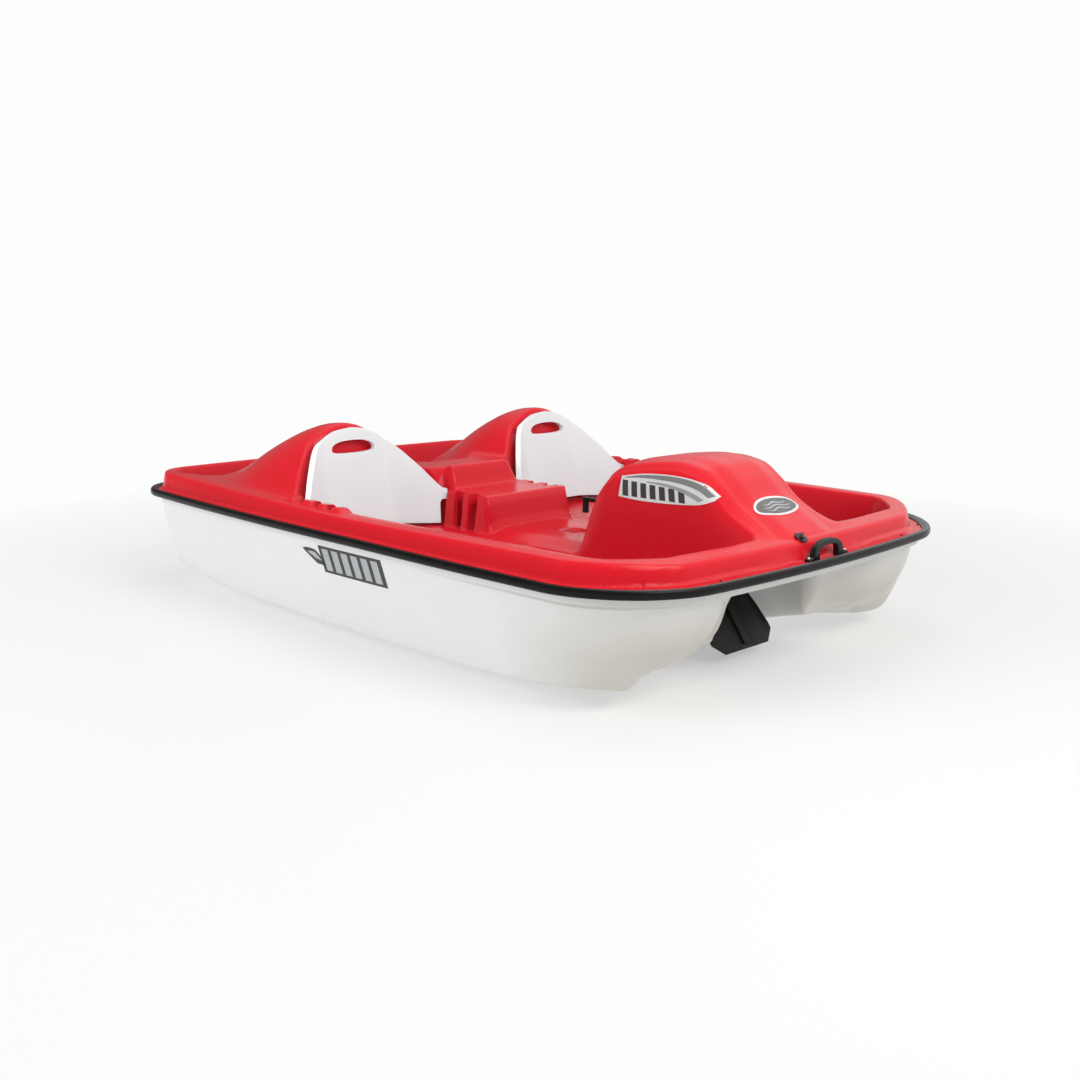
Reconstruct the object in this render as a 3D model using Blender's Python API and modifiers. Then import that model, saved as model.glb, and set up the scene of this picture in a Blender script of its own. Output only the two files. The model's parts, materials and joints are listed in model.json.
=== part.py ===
"""Pedal boat: twin-pontoon hull, moulded deck, centre paddle wheel driven by a four-pedal
crank, stern rudder worked by a hand tiller through a tie rod, and two lift-out seatbacks.

Frame: +X to the bow, +Y to port, +Z up. Origin under the middle of the boat, on the ground.
Metres throughout."""

import math

import bmesh
import bpy
import numpy as np
from mathutils import Matrix, Vector

# ------------------------------------------------------------------ driving dimensions
HALF_LENGTH = 1.205
BASE_BEAM = 0.780          # half beam of the plain rounded rectangle before the sides are bowed
BEAM_STERN, BEAM_BOW, BEAM_BULGE = 0.791, 0.769, 0.047
BOW_SWEEP, STERN_SWEEP = 0.056, 0.031
R_BOW, R_STERN = 0.280, 0.161
SHEET = 0.004              # wall thickness of the moulded skins
Z_DECK_FLANGE = 0.3445     # top of the deck flange, amidships and aft
Z_HULL_FLANGE = 0.3355     # underside of the hull flange, amidships and aft
BOW_DROP = 0.0110          # how much lower both flanges run at the bow
EDGE_INSET = 0.006         # flange edge to outside of bumper rail
CORE = 0.125               # depth of the rim band, measured in from the outside

FOOTWELL_Z = 0.085
PAN_Z = 0.250
LEDGE_Z = 0.278
BASIN_Z = 0.262
RIM_Z = 0.393              # top of the rim amidships
CONSOLE_Z = 0.380          # console block between the seats
AFT_CONSOLE_Z = 0.454      # taller block behind it
SADDLE_Z = 0.446           # between the two fairings
FAIRING_FOOT_Z = 0.26
TUNNEL_ROOF_Z = 0.200
CUP_X, CUP_DEPTH = 0.245, 0.028

WHEEL_X, WHEEL_Z = 0.770, 0.250
WHEEL_R = 0.269
DOME_R = 0.283
BLADES = 5
BLADE_PHASE = math.radians(36.0)   # first blade, forward of straight down
CRANK_THROW = 0.105
ROD_R = 0.009
PIN_IN, PIN_OUT = 0.336, 0.464     # |y| of the middles of the two pedal pins
PEDAL_L, PEDAL_W, PEDAL_T = 0.084, 0.088, 0.024
WEB_IN, WEB_MID, ROD_END = 0.272, 0.400, 0.522   # |y| of the crank webs and of the rod ends

SEAT_Y = 0.4425
BACK_T = 0.018
BACK_BOTTOM = 0.268
BACK_LEAN = 0.2

STEER_X = 0.405
RUDDER_X = -1.045
ARM = 0.080                # length of the steering and rudder arms
LINK_Z = 0.168

SIDES = (("port", 1), ("starboard", -1))
UP = (0, 0, 1)
ACROSS = (0, 1, 0)

# ------------------------------------------------------------------ scene
for old_object in list(bpy.data.objects):
    bpy.data.objects.remove(old_object, do_unlink=True)


def collection(name):
    made = bpy.data.collections.new(name)
    bpy.context.scene.collection.children.link(made)
    return made


parts = collection("pedal_boat")
cutters = collection("cutters")
cutters.hide_render = True


def material(name, colour, roughness, metallic=0.0):
    made = bpy.data.materials.get(name) or bpy.data.materials.new(name)
    made.use_nodes = True
    shader = made.node_tree.nodes["Principled BSDF"]
    shader.inputs["Base Color"].default_value = (*colour, 1.0)
    shader.inputs["Roughness"].default_value = roughness
    shader.inputs["Metallic"].default_value = metallic
    made.diffuse_color = (*colour, 1.0)
    return made


RED = material("red_plastic", colour=(0.62, 0.035, 0.045), roughness=0.34)
WHITE = material("white_plastic", colour=(0.80, 0.81, 0.80), roughness=0.36)
SEAT_WHITE = material("seat_white_plastic", colour=(0.84, 0.86, 0.88), roughness=0.42)
BLACK = material("black_plastic", colour=(0.012, 0.011, 0.010), roughness=0.38)
RAIL = material("black_vinyl", colour=(0.028, 0.026, 0.025), roughness=0.30)
BLADE_PLASTIC = material("blade_plastic", colour=(0.014, 0.011, 0.009), roughness=0.45)
STEEL = material("zinc_steel", colour=(0.52, 0.52, 0.53), roughness=0.32, metallic=1.0)
NYLON = material("natural_nylon", colour=(0.70, 0.68, 0.62), roughness=0.45)
FOAM = material("white_foam", colour=(0.86, 0.86, 0.85), roughness=0.85)


# ------------------------------------------------------------------ objects and modifiers
def shade(obj, angle):
    """Shades obj smooth, with edges sharper than angle (degrees) kept sharp."""
    obj.data.shade_smooth()
    obj.data.set_sharp_from_angle(angle=math.radians(angle))


def add(name, mesh, mat, sharp=40.0):
    """Adds a part, or a cutter when mat is None. A part is shaded unless sharp is None."""
    obj = bpy.data.objects.new(name, mesh)
    if mat is None:
        cutters.objects.link(obj)
        obj.hide_render = True
        obj.display_type = "WIRE"
        return obj
    parts.objects.link(obj)
    mesh.materials.append(mat)
    if sharp is not None:
        shade(obj, sharp)
    return obj


def to_mesh(bm, mesh):
    bm.to_mesh(mesh)
    bm.free()
    return mesh


def evaluated_mesh(obj):
    bpy.context.view_layer.update()
    graph = bpy.context.evaluated_depsgraph_get()
    return bpy.data.meshes.new_from_object(obj.evaluated_get(graph))


def bake(obj):
    """Applies the modifiers of obj."""
    mesh = evaluated_mesh(obj)
    obj.modifiers.clear()
    old = obj.data
    obj.data = mesh
    bpy.data.meshes.remove(old)


def boolean(obj, other, operation="DIFFERENCE"):
    modifier = obj.modifiers.new(other.name, "BOOLEAN")
    modifier.object = other
    modifier.operation = operation
    modifier.solver = "EXACT"


def join_all(obj, others):
    """Unites solids into obj, one after the other, and removes the helpers."""
    for other in others:
        boolean(obj, other, "UNION")
        bake(obj)
        bpy.data.objects.remove(other, do_unlink=True)
    shade(obj, 40)


def drill(obj, name, centre, axis, radius, length, segments=20):
    """Cuts a round hole in obj with a cutter called name, which stays in the scene."""
    boolean(obj, cylinder(name, None, centre, axis, radius, length, segments=segments))
    bake(obj)


# ------------------------------------------------------------------ small shapes
def frame_to(axis):
    """Rotation that turns +Z to axis."""
    return Vector(UP).rotation_difference(Vector(axis)).to_matrix().to_4x4()


def cross_frame(x, y, z):
    """Frame at x, y, z whose own x runs to port, own y up and own z to the bow."""
    frame = Matrix(((0, 0, 1), (1, 0, 0), (0, 1, 0))).to_4x4()
    frame.translation = (x, y, z)
    return frame


def cylinder(name, mat, centre, axis, radius, length, segments=20, chamfer=0.0):
    bm = bmesh.new()
    bmesh.ops.create_cone(bm, cap_ends=True, segments=segments, radius1=radius,
                          radius2=radius, depth=length)
    if chamfer:
        rim = [e for e in bm.edges if abs(e.verts[0].co.z - e.verts[1].co.z) < 1e-6]
        bmesh.ops.bevel(bm, geom=rim, offset=chamfer, segments=1, affect="EDGES")
    bmesh.ops.transform(bm, matrix=Matrix.Translation(centre) @ frame_to(axis), verts=bm.verts)
    return add(name, to_mesh(bm, bpy.data.meshes.new(name)), mat)


def post(name, mat, x, low, high, radius):
    """An upright cylinder on the centreline, from height low to high."""
    return cylinder(name, mat, (x, 0, (low + high) / 2), UP, radius, high - low)


def block(name, mat, low, high, bevel=0.0, turn=None):
    """A box from corner low to corner high, in the frame turn if one is given."""
    low, high = Vector(low), Vector(high)
    bm = bmesh.new()
    bmesh.ops.create_cube(bm, size=1.0)
    bmesh.ops.scale(bm, vec=high - low, verts=bm.verts)
    if bevel:
        bmesh.ops.bevel(bm, geom=list(bm.edges), offset=bevel, segments=1, profile=0.5,
                        affect="EDGES")
    spot = Matrix.Translation((low + high) / 2)
    bmesh.ops.transform(bm, matrix=(turn @ spot) if turn else spot, verts=bm.verts)
    return add(name, to_mesh(bm, bpy.data.meshes.new(name)), mat)


def turned(name, mat, profile, centre, axis, steps=16, close=False):
    """A turned piece: profile is (radius, height) along the section, which close makes a loop."""
    mesh = bpy.data.meshes.new(name)
    edges = [(i, i + 1) for i in range(len(profile) - 1)]
    if close:
        edges.append((len(profile) - 1, 0))
    mesh.from_pydata([(radius, 0.0, height) for radius, height in profile], edges, [])
    obj = add(name, mesh, mat, sharp=None)
    screw = obj.modifiers.new("turn", "SCREW")
    screw.axis = "Z"
    screw.steps = screw.render_steps = steps
    screw.use_merge_vertices = True
    screw.merge_threshold = 1e-5
    screw.use_normal_calculate = False
    bake(obj)
    bm = bmesh.new()
    bm.from_mesh(obj.data)
    bmesh.ops.remove_doubles(bm, verts=bm.verts, dist=1e-5)
    bmesh.ops.recalc_face_normals(bm, faces=bm.faces)
    bmesh.ops.transform(bm, matrix=Matrix.Translation(centre) @ frame_to(axis), verts=bm.verts)
    to_mesh(bm, obj.data)
    shade(obj, 35)
    return obj


def solid_from_curve(name, mat, curve, points, cyclic=False, frame=None):
    """Runs curve through points, turns it into a mesh and places that in frame."""
    spline = curve.splines.new("POLY")
    spline.points.add(len(points) - 1)
    for point, at in zip(spline.points, points):
        point.co = (*at, 1.0)
    spline.use_cyclic_u = cyclic
    holder = bpy.data.objects.new(name + "_curve", curve)
    parts.objects.link(holder)
    mesh = evaluated_mesh(holder)
    bpy.data.objects.remove(holder, do_unlink=True)
    bm = bmesh.new()
    bm.from_mesh(mesh)
    bmesh.ops.remove_doubles(bm, verts=bm.verts, dist=1e-6)
    if frame:
        bmesh.ops.transform(bm, matrix=frame, verts=bm.verts)
    bmesh.ops.recalc_face_normals(bm, faces=bm.faces)
    return add(name, to_mesh(bm, mesh), mat)


def bent_rod(name, mat, points, radius, bend, bend_steps):
    """A round rod along points; each bend starts a length bend before its corner."""
    path = [Vector(p) for p in points]
    rounded = [path[0]]
    for before, corner, after in zip(path, path[1:], path[2:]):
        back, on = (before - corner).normalized(), (after - corner).normalized()
        reach = min(bend, (before - corner).length * 0.49, (after - corner).length * 0.49)
        start, end = corner + back * reach, corner + on * reach
        for k in range(bend_steps + 1):
            t = k / bend_steps
            rounded.append(start.lerp(corner, t).lerp(corner.lerp(end, t), t))
    rounded.append(path[-1])
    curve = bpy.data.curves.new(name, "CURVE")
    curve.dimensions = "3D"
    curve.bevel_depth = radius
    curve.bevel_resolution = 2
    curve.use_fill_caps = True
    return solid_from_curve(name, mat, curve, rounded)


def plate(name, mat, outline, thickness, frame):
    """A flat outline given in its own x, y, thickened evenly about its plane."""
    curve = bpy.data.curves.new(name, "CURVE")
    curve.dimensions = "2D"
    curve.fill_mode = "BOTH"
    curve.extrude = thickness / 2
    points = [(across, up, 0.0) for across, up in outline]
    return solid_from_curve(name, mat, curve, points, cyclic=True, frame=frame)


# ------------------------------------------------------------------ curves and blends
def smooth_step(t):
    return t * t * (3 - 2 * t)


def ease(a, b, x):
    """0 at a, 1 at b, with a smooth step between; a may be the larger."""
    return smooth_step(np.clip((x - a) / (b - a), 0.0, 1.0))


def toward(a, b, share):
    return a + (b - a) * share


def smooth_max(a, b, width):
    """The larger of a and b, rounded where they are within width of each other."""
    near = np.maximum(width - np.abs(a - b), 0.0) / width
    return np.maximum(a, b) + near * near * width / 4


def along(table, x):
    """A smooth curve through a short table of stations (monotone cubic)."""
    stations = np.array(table, float)
    xs, zs = stations[:, 0], stations[:, 1]
    gap = np.diff(xs)
    slope = np.diff(zs) / gap
    before, after = slope[:-1], slope[1:]
    inner = np.where(before * after > 0, 2 * before * after / (before + after + 1e-12), 0)
    tangent = np.concatenate([[slope[0]], inner, [slope[-1]]])
    x = np.clip(x, xs[0], xs[-1])
    k = np.clip(np.searchsorted(xs, x) - 1, 0, len(gap) - 1)
    u = (x - xs[k]) / gap[k]
    return ((2 * u ** 3 - 3 * u ** 2 + 1) * zs[k]
            + (u ** 3 - 2 * u ** 2 + u) * gap[k] * tangent[k]
            + (-2 * u ** 3 + 3 * u ** 2) * zs[k + 1]
            + (u ** 3 - u ** 2) * gap[k] * tangent[k + 1])


def graded(*stretches):
    """Stations from stretches (start, end, spacing)."""
    out = []
    for start, end, spacing in stretches:
        n = max(1, round(abs(end - start) / spacing))
        out += [start + (end - start) * k / n for k in range(n)]
    out.append(stretches[-1][1])
    return np.array(out)


def mirrored(half):
    """Stations from 0 outwards, extended to the other side."""
    return np.concatenate([-half[:0:-1], half])


# ------------------------------------------------------------------ plan shape
def sheer(x):
    """Height of the flanges at x, against amidships."""
    t = np.clip((x - 0.15) / 0.95, 0.0, 1.0)
    return -BOW_DROP * t ** 1.15 * (1.0 + 0.15 * (1.0 - t))


def beam_scale(x):
    t = np.clip(x / HALF_LENGTH, -1, 1)
    half = BEAM_STERN + (BEAM_BOW - BEAM_STERN) * (t + 1) / 2 + BEAM_BULGE * (1 - t * t)
    return half / BASE_BEAM


def warp(x, y):
    """Plain rounded rectangle to the real plan: bowed sides, swept bow and stern."""
    q = np.clip(y / BASE_BEAM, -1.2, 1.2)
    bow = ease(0.2, HALF_LENGTH, x)
    stern = ease(-0.2, -HALF_LENGTH, x)
    return x - BOW_SWEEP * q * q * bow + STERN_SWEEP * q * q * stern, y * beam_scale(x)


def unwarp(x, y):
    """The inverse of warp, found by iteration."""
    plain_x, plain_y = np.array(x, float), np.array(y, float)
    for _ in range(6):
        real_x, real_y = warp(plain_x, plain_y)
        plain_x, plain_y = (plain_x + (x - real_x),
                            plain_y + (y - real_y) / beam_scale(plain_x))
    return plain_x, plain_y


def inset_of(x, y):
    """How far in from the outside of the rail a point lies, and how much it faces the bow
    and the stern."""
    plain_x, plain_y = unwarp(x, y)
    end = HALF_LENGTH - np.abs(plain_x)
    side = BASE_BEAM - np.abs(plain_y)
    r = np.where(plain_x > 0, R_BOW, R_STERN)
    corner = (end < r) & (side < r)
    reach = np.hypot(r - end, r - side)
    inset = np.where(corner, r - reach, np.minimum(end, side))
    facing = np.where(corner, ((r - end) / np.maximum(reach, 1e-6)) ** 2,
                      ease(-0.05, 0.05, side - end))
    return inset, facing * (plain_x > 0), facing * (plain_x < 0)


def plan_grid(xs, ys, rings):
    """Points (x, y) over the plan: a core grid inside CORE, and rings round it to the edge.
    xs runs -1..1 along the core, ys -1..1 across. rings are insets, inmost first."""
    bow_r, stern_r = R_BOW - CORE, R_STERN - CORE
    length, beam = HALF_LENGTH - CORE, BASE_BEAM - CORE
    diagonal = math.sqrt(0.5)
    bow_x = length - bow_r + bow_r * diagonal
    stern_x = -(length - stern_r + stern_r * diagonal)
    bow_y = beam - bow_r + bow_r * diagonal
    stern_y = beam - stern_r + stern_r * diagonal

    def side_point(x):
        """Core outline and outward normal at x on the port side."""
        if x > length - bow_r:
            centre, r = np.array([length - bow_r, beam - bow_r]), bow_r
        elif x < -(length - stern_r):
            centre, r = np.array([-(length - stern_r), beam - stern_r]), stern_r
        else:
            return np.array([x, beam]), np.array([0.0, 1.0])
        s = (x - centre[0]) / r
        normal = np.array([s, math.sqrt(max(0.0, 1 - s * s))])
        return centre + r * normal, normal

    def end_point(y, r, sign):
        """The same at y on the bow (sign 1) or the stern (sign -1)."""
        if abs(y) > beam - r:
            s = (abs(y) - (beam - r)) / r
            normal = np.array([sign * math.sqrt(max(0.0, 1 - s * s)), math.copysign(s, y)])
            centre = np.array([sign * (length - r), math.copysign(beam - r, y)])
            return centre + r * normal, normal
        return np.array([sign * length, y]), np.array([sign * 1.0, 0.0])

    core_x = stern_x + (bow_x - stern_x) * (xs + 1) / 2
    port_side = [side_point(x) for x in core_x]
    bow_end = [end_point(bow_y * v, bow_r, 1) for v in ys]
    stern_end = [end_point(stern_y * v, stern_r, -1) for v in ys]
    port = np.array([p for p, _ in port_side])
    starboard = port * [1, -1]
    stern = np.array([p for p, _ in stern_end])
    bow = np.array([p for p, _ in bow_end])

    # core grid, blended between its four edges
    a = ((core_x - core_x[0]) / (core_x[-1] - core_x[0]))[:, None, None]
    b = ((ys + 1) / 2)[None, :, None]
    core = ((1 - b) * starboard[:, None] + b * port[:, None] + (1 - a) * stern[None] + a * bow[None]
            - (1 - a) * (1 - b) * starboard[0] - a * (1 - b) * starboard[-1]
            - (1 - a) * b * port[0] - a * b * port[-1])
    points = [tuple(p) for p in core.reshape(-1, 2)]
    nx, ny = len(core_x), len(ys)
    index = np.arange(nx * ny).reshape(nx, ny)
    faces = [(index[i, j], index[i + 1, j], index[i + 1, j + 1], index[i, j + 1])
             for i in range(nx - 1) for j in range(ny - 1)]

    # (index, point, outward normal) round the edge of the core, then the rings outside it
    loop = ([(index[i, 0], starboard[i], port_side[i][1] * [1, -1]) for i in range(nx - 1)]
            + [(index[-1, j], bow[j], bow_end[j][1]) for j in range(ny - 1)]
            + [(index[i, -1], port[i], port_side[i][1]) for i in range(nx - 1, 0, -1)]
            + [(index[0, j], stern[j], stern_end[j][1]) for j in range(ny - 1, 0, -1)])
    previous = [i for i, _, _ in loop]
    for inset in rings:
        first = len(points)
        points += [tuple(p + normal * (CORE - inset)) for _, p, normal in loop]
        here = list(range(first, first + len(loop)))
        for i in range(len(loop)):
            j = (i + 1) % len(loop)
            faces.append((previous[i], here[i], here[j], previous[j]))
        previous = here
    plain = np.array(points)
    x, y = warp(plain[:, 0], plain[:, 1])
    return x, y, faces


# ------------------------------------------------------------------ deck surface
# In the surface functions, off is the distance off the centreline, inset the distance in
# from the outside of the rail, and bow and stern how much the edge faces either end.

# (x, z) along the top of the wheel hump
HUMP = [(0.40, 0.278), (0.430, 0.278), (0.448, 0.330), (0.466, 0.405), (0.495, 0.475),
        (0.540, 0.526), (0.605, 0.552), (0.690, 0.566), (0.780, 0.574), (0.860, 0.562),
        (0.915, 0.528), (0.975, 0.475), (1.045, 0.432), (1.092, 0.404), (1.122, 0.384),
        (1.138, 0.362), (1.150, 0.3335)]
# (x, z) along the crest of the fairing behind each seat
CREST = [(-1.20, 0.26), (-1.08, 0.310), (-1.00, 0.347), (-0.93, 0.383), (-0.83, 0.433),
         (-0.75, 0.475), (-0.67, 0.520), (-0.60, 0.553), (-0.52, 0.584), (-0.45, 0.601),
         (-0.40, 0.605), (-0.33, 0.606)]
# (x of the middle, half length at the mouth, half length at the bottom)
SLOTS = ((-0.205, 0.028, 0.020), (-0.114, 0.021, 0.015), (-0.043, 0.021, 0.015))


def wing(off):
    """How far the seatback's sides come forward of its middle."""
    beyond = np.maximum(np.abs(off - SEAT_Y) - 0.12, 0.0)
    return 0.85 * beyond * beyond / (beyond + 0.025)


def back_x(off, z):
    """Middle of the seatback's thickness."""
    return -0.338 - BACK_LEAN * (z - 0.5) + wing(off)


def notches(x):
    """Three slots that hold the seatback, one of them in use."""
    return np.maximum.reduce([ease(mouth, bottom, np.abs(x - at)) for at, mouth, bottom in SLOTS])


def rim_z(x, inset, bow, stern):
    """Flange, coaming wall and the rounded top of the rim."""
    # inset of the line where the coaming rises from the flange
    foot = 0.038 + 0.020 * bow + 0.060 * bow * (1 - bow) + 0.006 * stern
    aft_x = np.minimum(x, 0.0)
    top = RIM_Z - 0.0185 * aft_x - 0.004 * aft_x ** 2 + 0.004 * ease(0.1, 0.6, x)
    wall = ease(foot, foot + 0.017, inset)
    crown = (0.006 * ease(0.0, 0.05, np.abs(inset - 0.088))
             + 0.013 * bow * ease(0.135, 0.080, inset))
    return toward(Z_DECK_FLANGE + sheer(x), top - crown, wall)


def bolster_z(x, off, inset, slot):
    """Raised strip on the rim beside the seat, lower at the slots."""
    return (0.013 * ease(-0.275, -0.245, x) * ease(0.030, 0.0, x)
            * ease(0.062, 0.085, inset) * (1 - 0.4 * slot) * ease(0.5, 0.6, off))


def floor_z(x, y, off, slot):
    """Seat pans, leg wells, centre ledge with its cup, and the blocks between the seats."""
    pan = PAN_Z - 0.008 + 0.018 * np.clip((off - SEAT_Y) / 0.22, -1, 1) ** 2
    drop = ease(0.235, 0.315, x)
    # the front of the leg well starts to rise further aft on its inboard side
    toe = x + 0.080 * ease(0.42, 0.24, off)
    well = FOOTWELL_Z + 0.085 * ease(0.86, 1.04, toe) + 0.060 * ease(1.00, 1.10, toe)
    floor = pan * (1 - drop) + well * drop
    ledge = LEDGE_Z - 0.018 * ease(0.11, 0.21, off) + 0.060 * ease(0.95, 1.03, x)
    inner = ease(0.252 + 0.090 * ease(0.92, 1.03, x), 0.204 + 0.048 * ease(0.93, 1.03, x), off)
    floor = floor * (1 - inner) + np.maximum(floor, ledge) * inner
    floor = floor - CUP_DEPTH * ease(0.040, 0.033, np.hypot(x - CUP_X, y))
    half_width = 0.178 - 0.034 * slot
    console = ease(half_width + 0.020, half_width, off) * ease(0.046, 0.018, x)
    floor = toward(floor, CONSOLE_Z, console)
    aft_console = ease(0.160, 0.125, off) * ease(-0.172, -0.222, x)
    return toward(floor, AFT_CONSOLE_Z, aft_console)


def add_hump(x, off, cockpit):
    """The cockpit surface with the wheel hump standing out of it."""
    top = (along(HUMP, x) - 0.010 * ease(0.06, 0.13, off)
           - 0.028 * ease(0.13, 0.175, off) * ease(1.12, 0.95, x))
    body = ease(0.216, 0.166, off) * ease(0.40, 0.445, x)
    nose = ease(0.30, 0.16, off) * ease(1.055, 1.10, x) * ease(1.20, 1.10, x)
    return toward(cockpit, np.maximum(top, cockpit), np.maximum(body, nose))


def aft_z(x, off, inset, rim):
    """Fairings behind the seats, the saddle between them and the basin round them."""
    half_width = 0.27 * (1.0 - 0.25 * ease(-0.5, -0.95, x))
    side = np.abs(off - SEAT_Y - 0.030 * ease(-0.45, -0.85, x)) / half_width
    fairing = toward(FAIRING_FOOT_Z, along(CREST, x), 1 - 0.6 * side ** 1.95)
    saddle = np.where(off < 0.30, SADDLE_Z - 0.10 * ease(0.17, 0.30, off), FAIRING_FOOT_Z)
    base = toward(rim, saddle, ease(0.32, 0.24, off))
    lip_x = -0.40 - 0.9 * np.maximum(off - 0.08, 0.0)
    basin = ease(0.070, 0.125, inset) * ease(lip_x + 0.02, lip_x - 0.085, x)
    base = toward(base, BASIN_Z, basin)
    inside = ease(0.05, 0.11, inset)
    aft = smooth_max(base, fairing, 0.05) * inside + rim * (1 - inside)
    return np.maximum(aft, BASIN_Z * ease(0.05, 0.10, inset))


def deck_z(x, y):
    off = np.abs(y)
    inset, bow, stern = inset_of(x, y)
    slot = notches(x)
    rim = rim_z(x, inset, bow, stern) + bolster_z(x, off, inset, slot)
    # outboard edge of the cockpit, with its own slots
    edge = 0.112 + 0.014 * bow + 0.060 * bow * (1 - bow) - 0.038 * slot * ease(0.4, 0.6, off)
    cockpit = toward(rim, floor_z(x, y, off, slot), ease(edge, edge + 0.040, inset))
    forward = add_hump(x, off, cockpit)
    # front of the fairings, just behind the seatbacks; further forward on the centreline
    face = smooth_step(np.clip((x - (-0.395 + wing(off))) / 0.080, 0, 1))
    face = np.maximum(face, ease(-0.245, -0.225, x) * ease(0.17, 0.15, off))
    return toward(aft_z(x, off, inset, rim), forward, face)


# ------------------------------------------------------------------ hull surface
LIP_INSET = 0.0335             # where the hull turns down under the rail
LIP_DROP, WALL_DROP = 0.034, 0.036   # lip and top of the wall, below the flange
WALL_SLOPE = 0.30 / 0.050      # fall of the drafted wall for each metre inwards
BILGE_R = 0.345                # depth in from the bow over which the bow rounds under


def hull_wall_z(x, off, inset, bow, flange):
    """Drafted wall, rounded under at the bow."""
    start = LIP_INSET + 0.0065 + 0.004 * bow
    wall = (flange - WALL_DROP) - (inset - start) * WALL_SLOPE
    inward = ((0.080 * ease(0.42, 0.215, off) ** 1.5 + 0.030 * ease(0.60, 0.215, off))
              * ease(0.2, 0.8, bow) * ease(0.33, 0.17, inset))
    u = np.clip((BILGE_R - (inset - inward - 0.055)) / BILGE_R, 0, 1)
    bulb = np.minimum((flange - 0.005) * (1 - np.sqrt(np.maximum(1 - u * u, 0))),
                      flange - WALL_DROP)
    nose = bow * (2 - bow)
    return wall * (1 - nose) + np.minimum(wall + 0.9 * nose, bulb) * nose


def pontoon_bottom_z(x, off):
    """Bottom with two grooves, which part three lobes, and rocker at both ends."""
    rocker = (0.032 * np.maximum((-x - 0.50) / 0.44, 0) ** 2
              + 0.028 * np.maximum((x - 0.45) / 0.45, 0) ** 2)
    rocker = rocker + 0.060 * ease(0.60, 0.22, off) ** 0.8 * ease(0.55, 1.0, x)
    grooves = np.maximum(ease(0.030, 0.0, np.abs(off - 0.360)),
                         ease(0.030, 0.0, np.abs(off - 0.505)))
    return (rocker + 0.013 * grooves * (0.35 + 0.65 * ease(-0.6, 0.7, x))
            + 0.045 * ease(0.50, 0.76, off))


def add_tunnel(x, off, outer):
    """The outer skin with the tunnel between the pontoons and the dome over the wheel."""
    roof = TUNNEL_ROOF_Z + 0.088 * ease(0.95, 1.08, x)
    reach = DOME_R - 0.030 * ease(0.09, 0.15, off)
    dome = WHEEL_Z + np.sqrt(np.maximum(reach ** 2 - (x - WHEEL_X) ** 2, 0))
    roof = np.maximum(roof, np.where(np.abs(x - WHEEL_X) < reach, dome, 0))
    flare = 0.24 * ease(0.97, 1.20, x) ** 1.3
    gate = ease(0.226 + flare, 0.152 + flare * 0.9, off)
    return toward(outer, np.maximum(roof, outer), gate)


def hull_z(x, y):
    off = np.abs(y)
    inset, bow, _ = inset_of(x, y)
    flange = Z_HULL_FLANGE + sheer(x)
    lip = flange - LIP_DROP * ease(LIP_INSET, LIP_INSET + 0.0035, inset)
    wall = hull_wall_z(x, off, inset, bow, flange)
    outer = smooth_max(wall, pontoon_bottom_z(x, off), 0.078)
    inside = add_tunnel(x, off, outer)
    return np.where(inset < 0.0405, lip, np.where(inset < 0.07, np.minimum(inside, lip), inside))


# ------------------------------------------------------------------ skins
# stretches are (start, end, spacing); rings are insets, inmost first
DECK_X = ((-1.069, -1.02, 0.018), (-1.02, -0.45, 0.032), (-0.45, 0.06, 0.013),
          (0.06, 0.22, 0.026), (0.22, 0.33, 0.016), (0.33, 0.43, 0.030), (0.43, 0.55, 0.013),
          (0.55, 0.86, 0.028), (0.86, 1.025, 0.018))
DECK_HALF_Y = ((0.0, 0.11, 0.022), (0.11, 0.27, 0.010), (0.27, 0.55, 0.030), (0.55, 0.645, 0.014))
DECK_RINGS = [0.112, 0.098, 0.080, 0.066, 0.058, 0.053, 0.047, 0.040, 0.036, 0.020, EDGE_INSET]

HULL_X = ((-1.069, -1.00, 0.014), (-1.00, 0.42, 0.045), (0.42, 0.56, 0.012),
          (0.56, 0.90, 0.028), (0.90, 1.025, 0.014))
HULL_HALF_Y = ((0.0, 0.14, 0.028), (0.14, 0.24, 0.010), (0.24, 0.56, 0.0155),
               (0.56, 0.645, 0.014))
HULL_RINGS = [0.108, 0.092, 0.076, 0.064, 0.054, 0.046, 0.0412, 0.037, LIP_INSET, 0.020,
              EDGE_INSET]


def core_stations(true):
    """World stations to -1..1 along the core."""
    first, last = true[0], true[-1]
    return 2 * (true - first) / (last - first) - 1


def moulded_skin(name, mat, height, x_stretches, half_y_stretches, rings, triangles, flip):
    """A sheet over the plan at height(x, y), thinned out to triangles and given thickness."""
    x, y, faces = plan_grid(core_stations(graded(*x_stretches)),
                            core_stations(mirrored(graded(*half_y_stretches))), rings)
    mesh = bpy.data.meshes.new(name)
    mesh.from_pydata([tuple(map(float, p)) for p in zip(x, y, height(x, y))], [],
                     [tuple(map(int, f[::-1] if flip else f)) for f in faces])
    obj = add(name, mesh, mat, sharp=50)
    thin = obj.modifiers.new("thin_out", "DECIMATE")
    thin.ratio = min(1.0, triangles / (2 * len(faces)))
    thin.use_symmetry = True
    thin.symmetry_axis = "Y"
    shell = obj.modifiers.new("thickness", "SOLIDIFY")
    shell.thickness = SHEET
    shell.offset = -1.0
    bake(obj)
    shade(obj, 50)
    return obj


DRAIN = Vector((1.122, -0.054, 0.0))
DRAIN.z = float(deck_z(np.array([DRAIN.x]), np.array([DRAIN.y]))[0])
DRAIN_NORMAL = Vector((0.47, 0, 0.88)).normalized()


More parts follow.
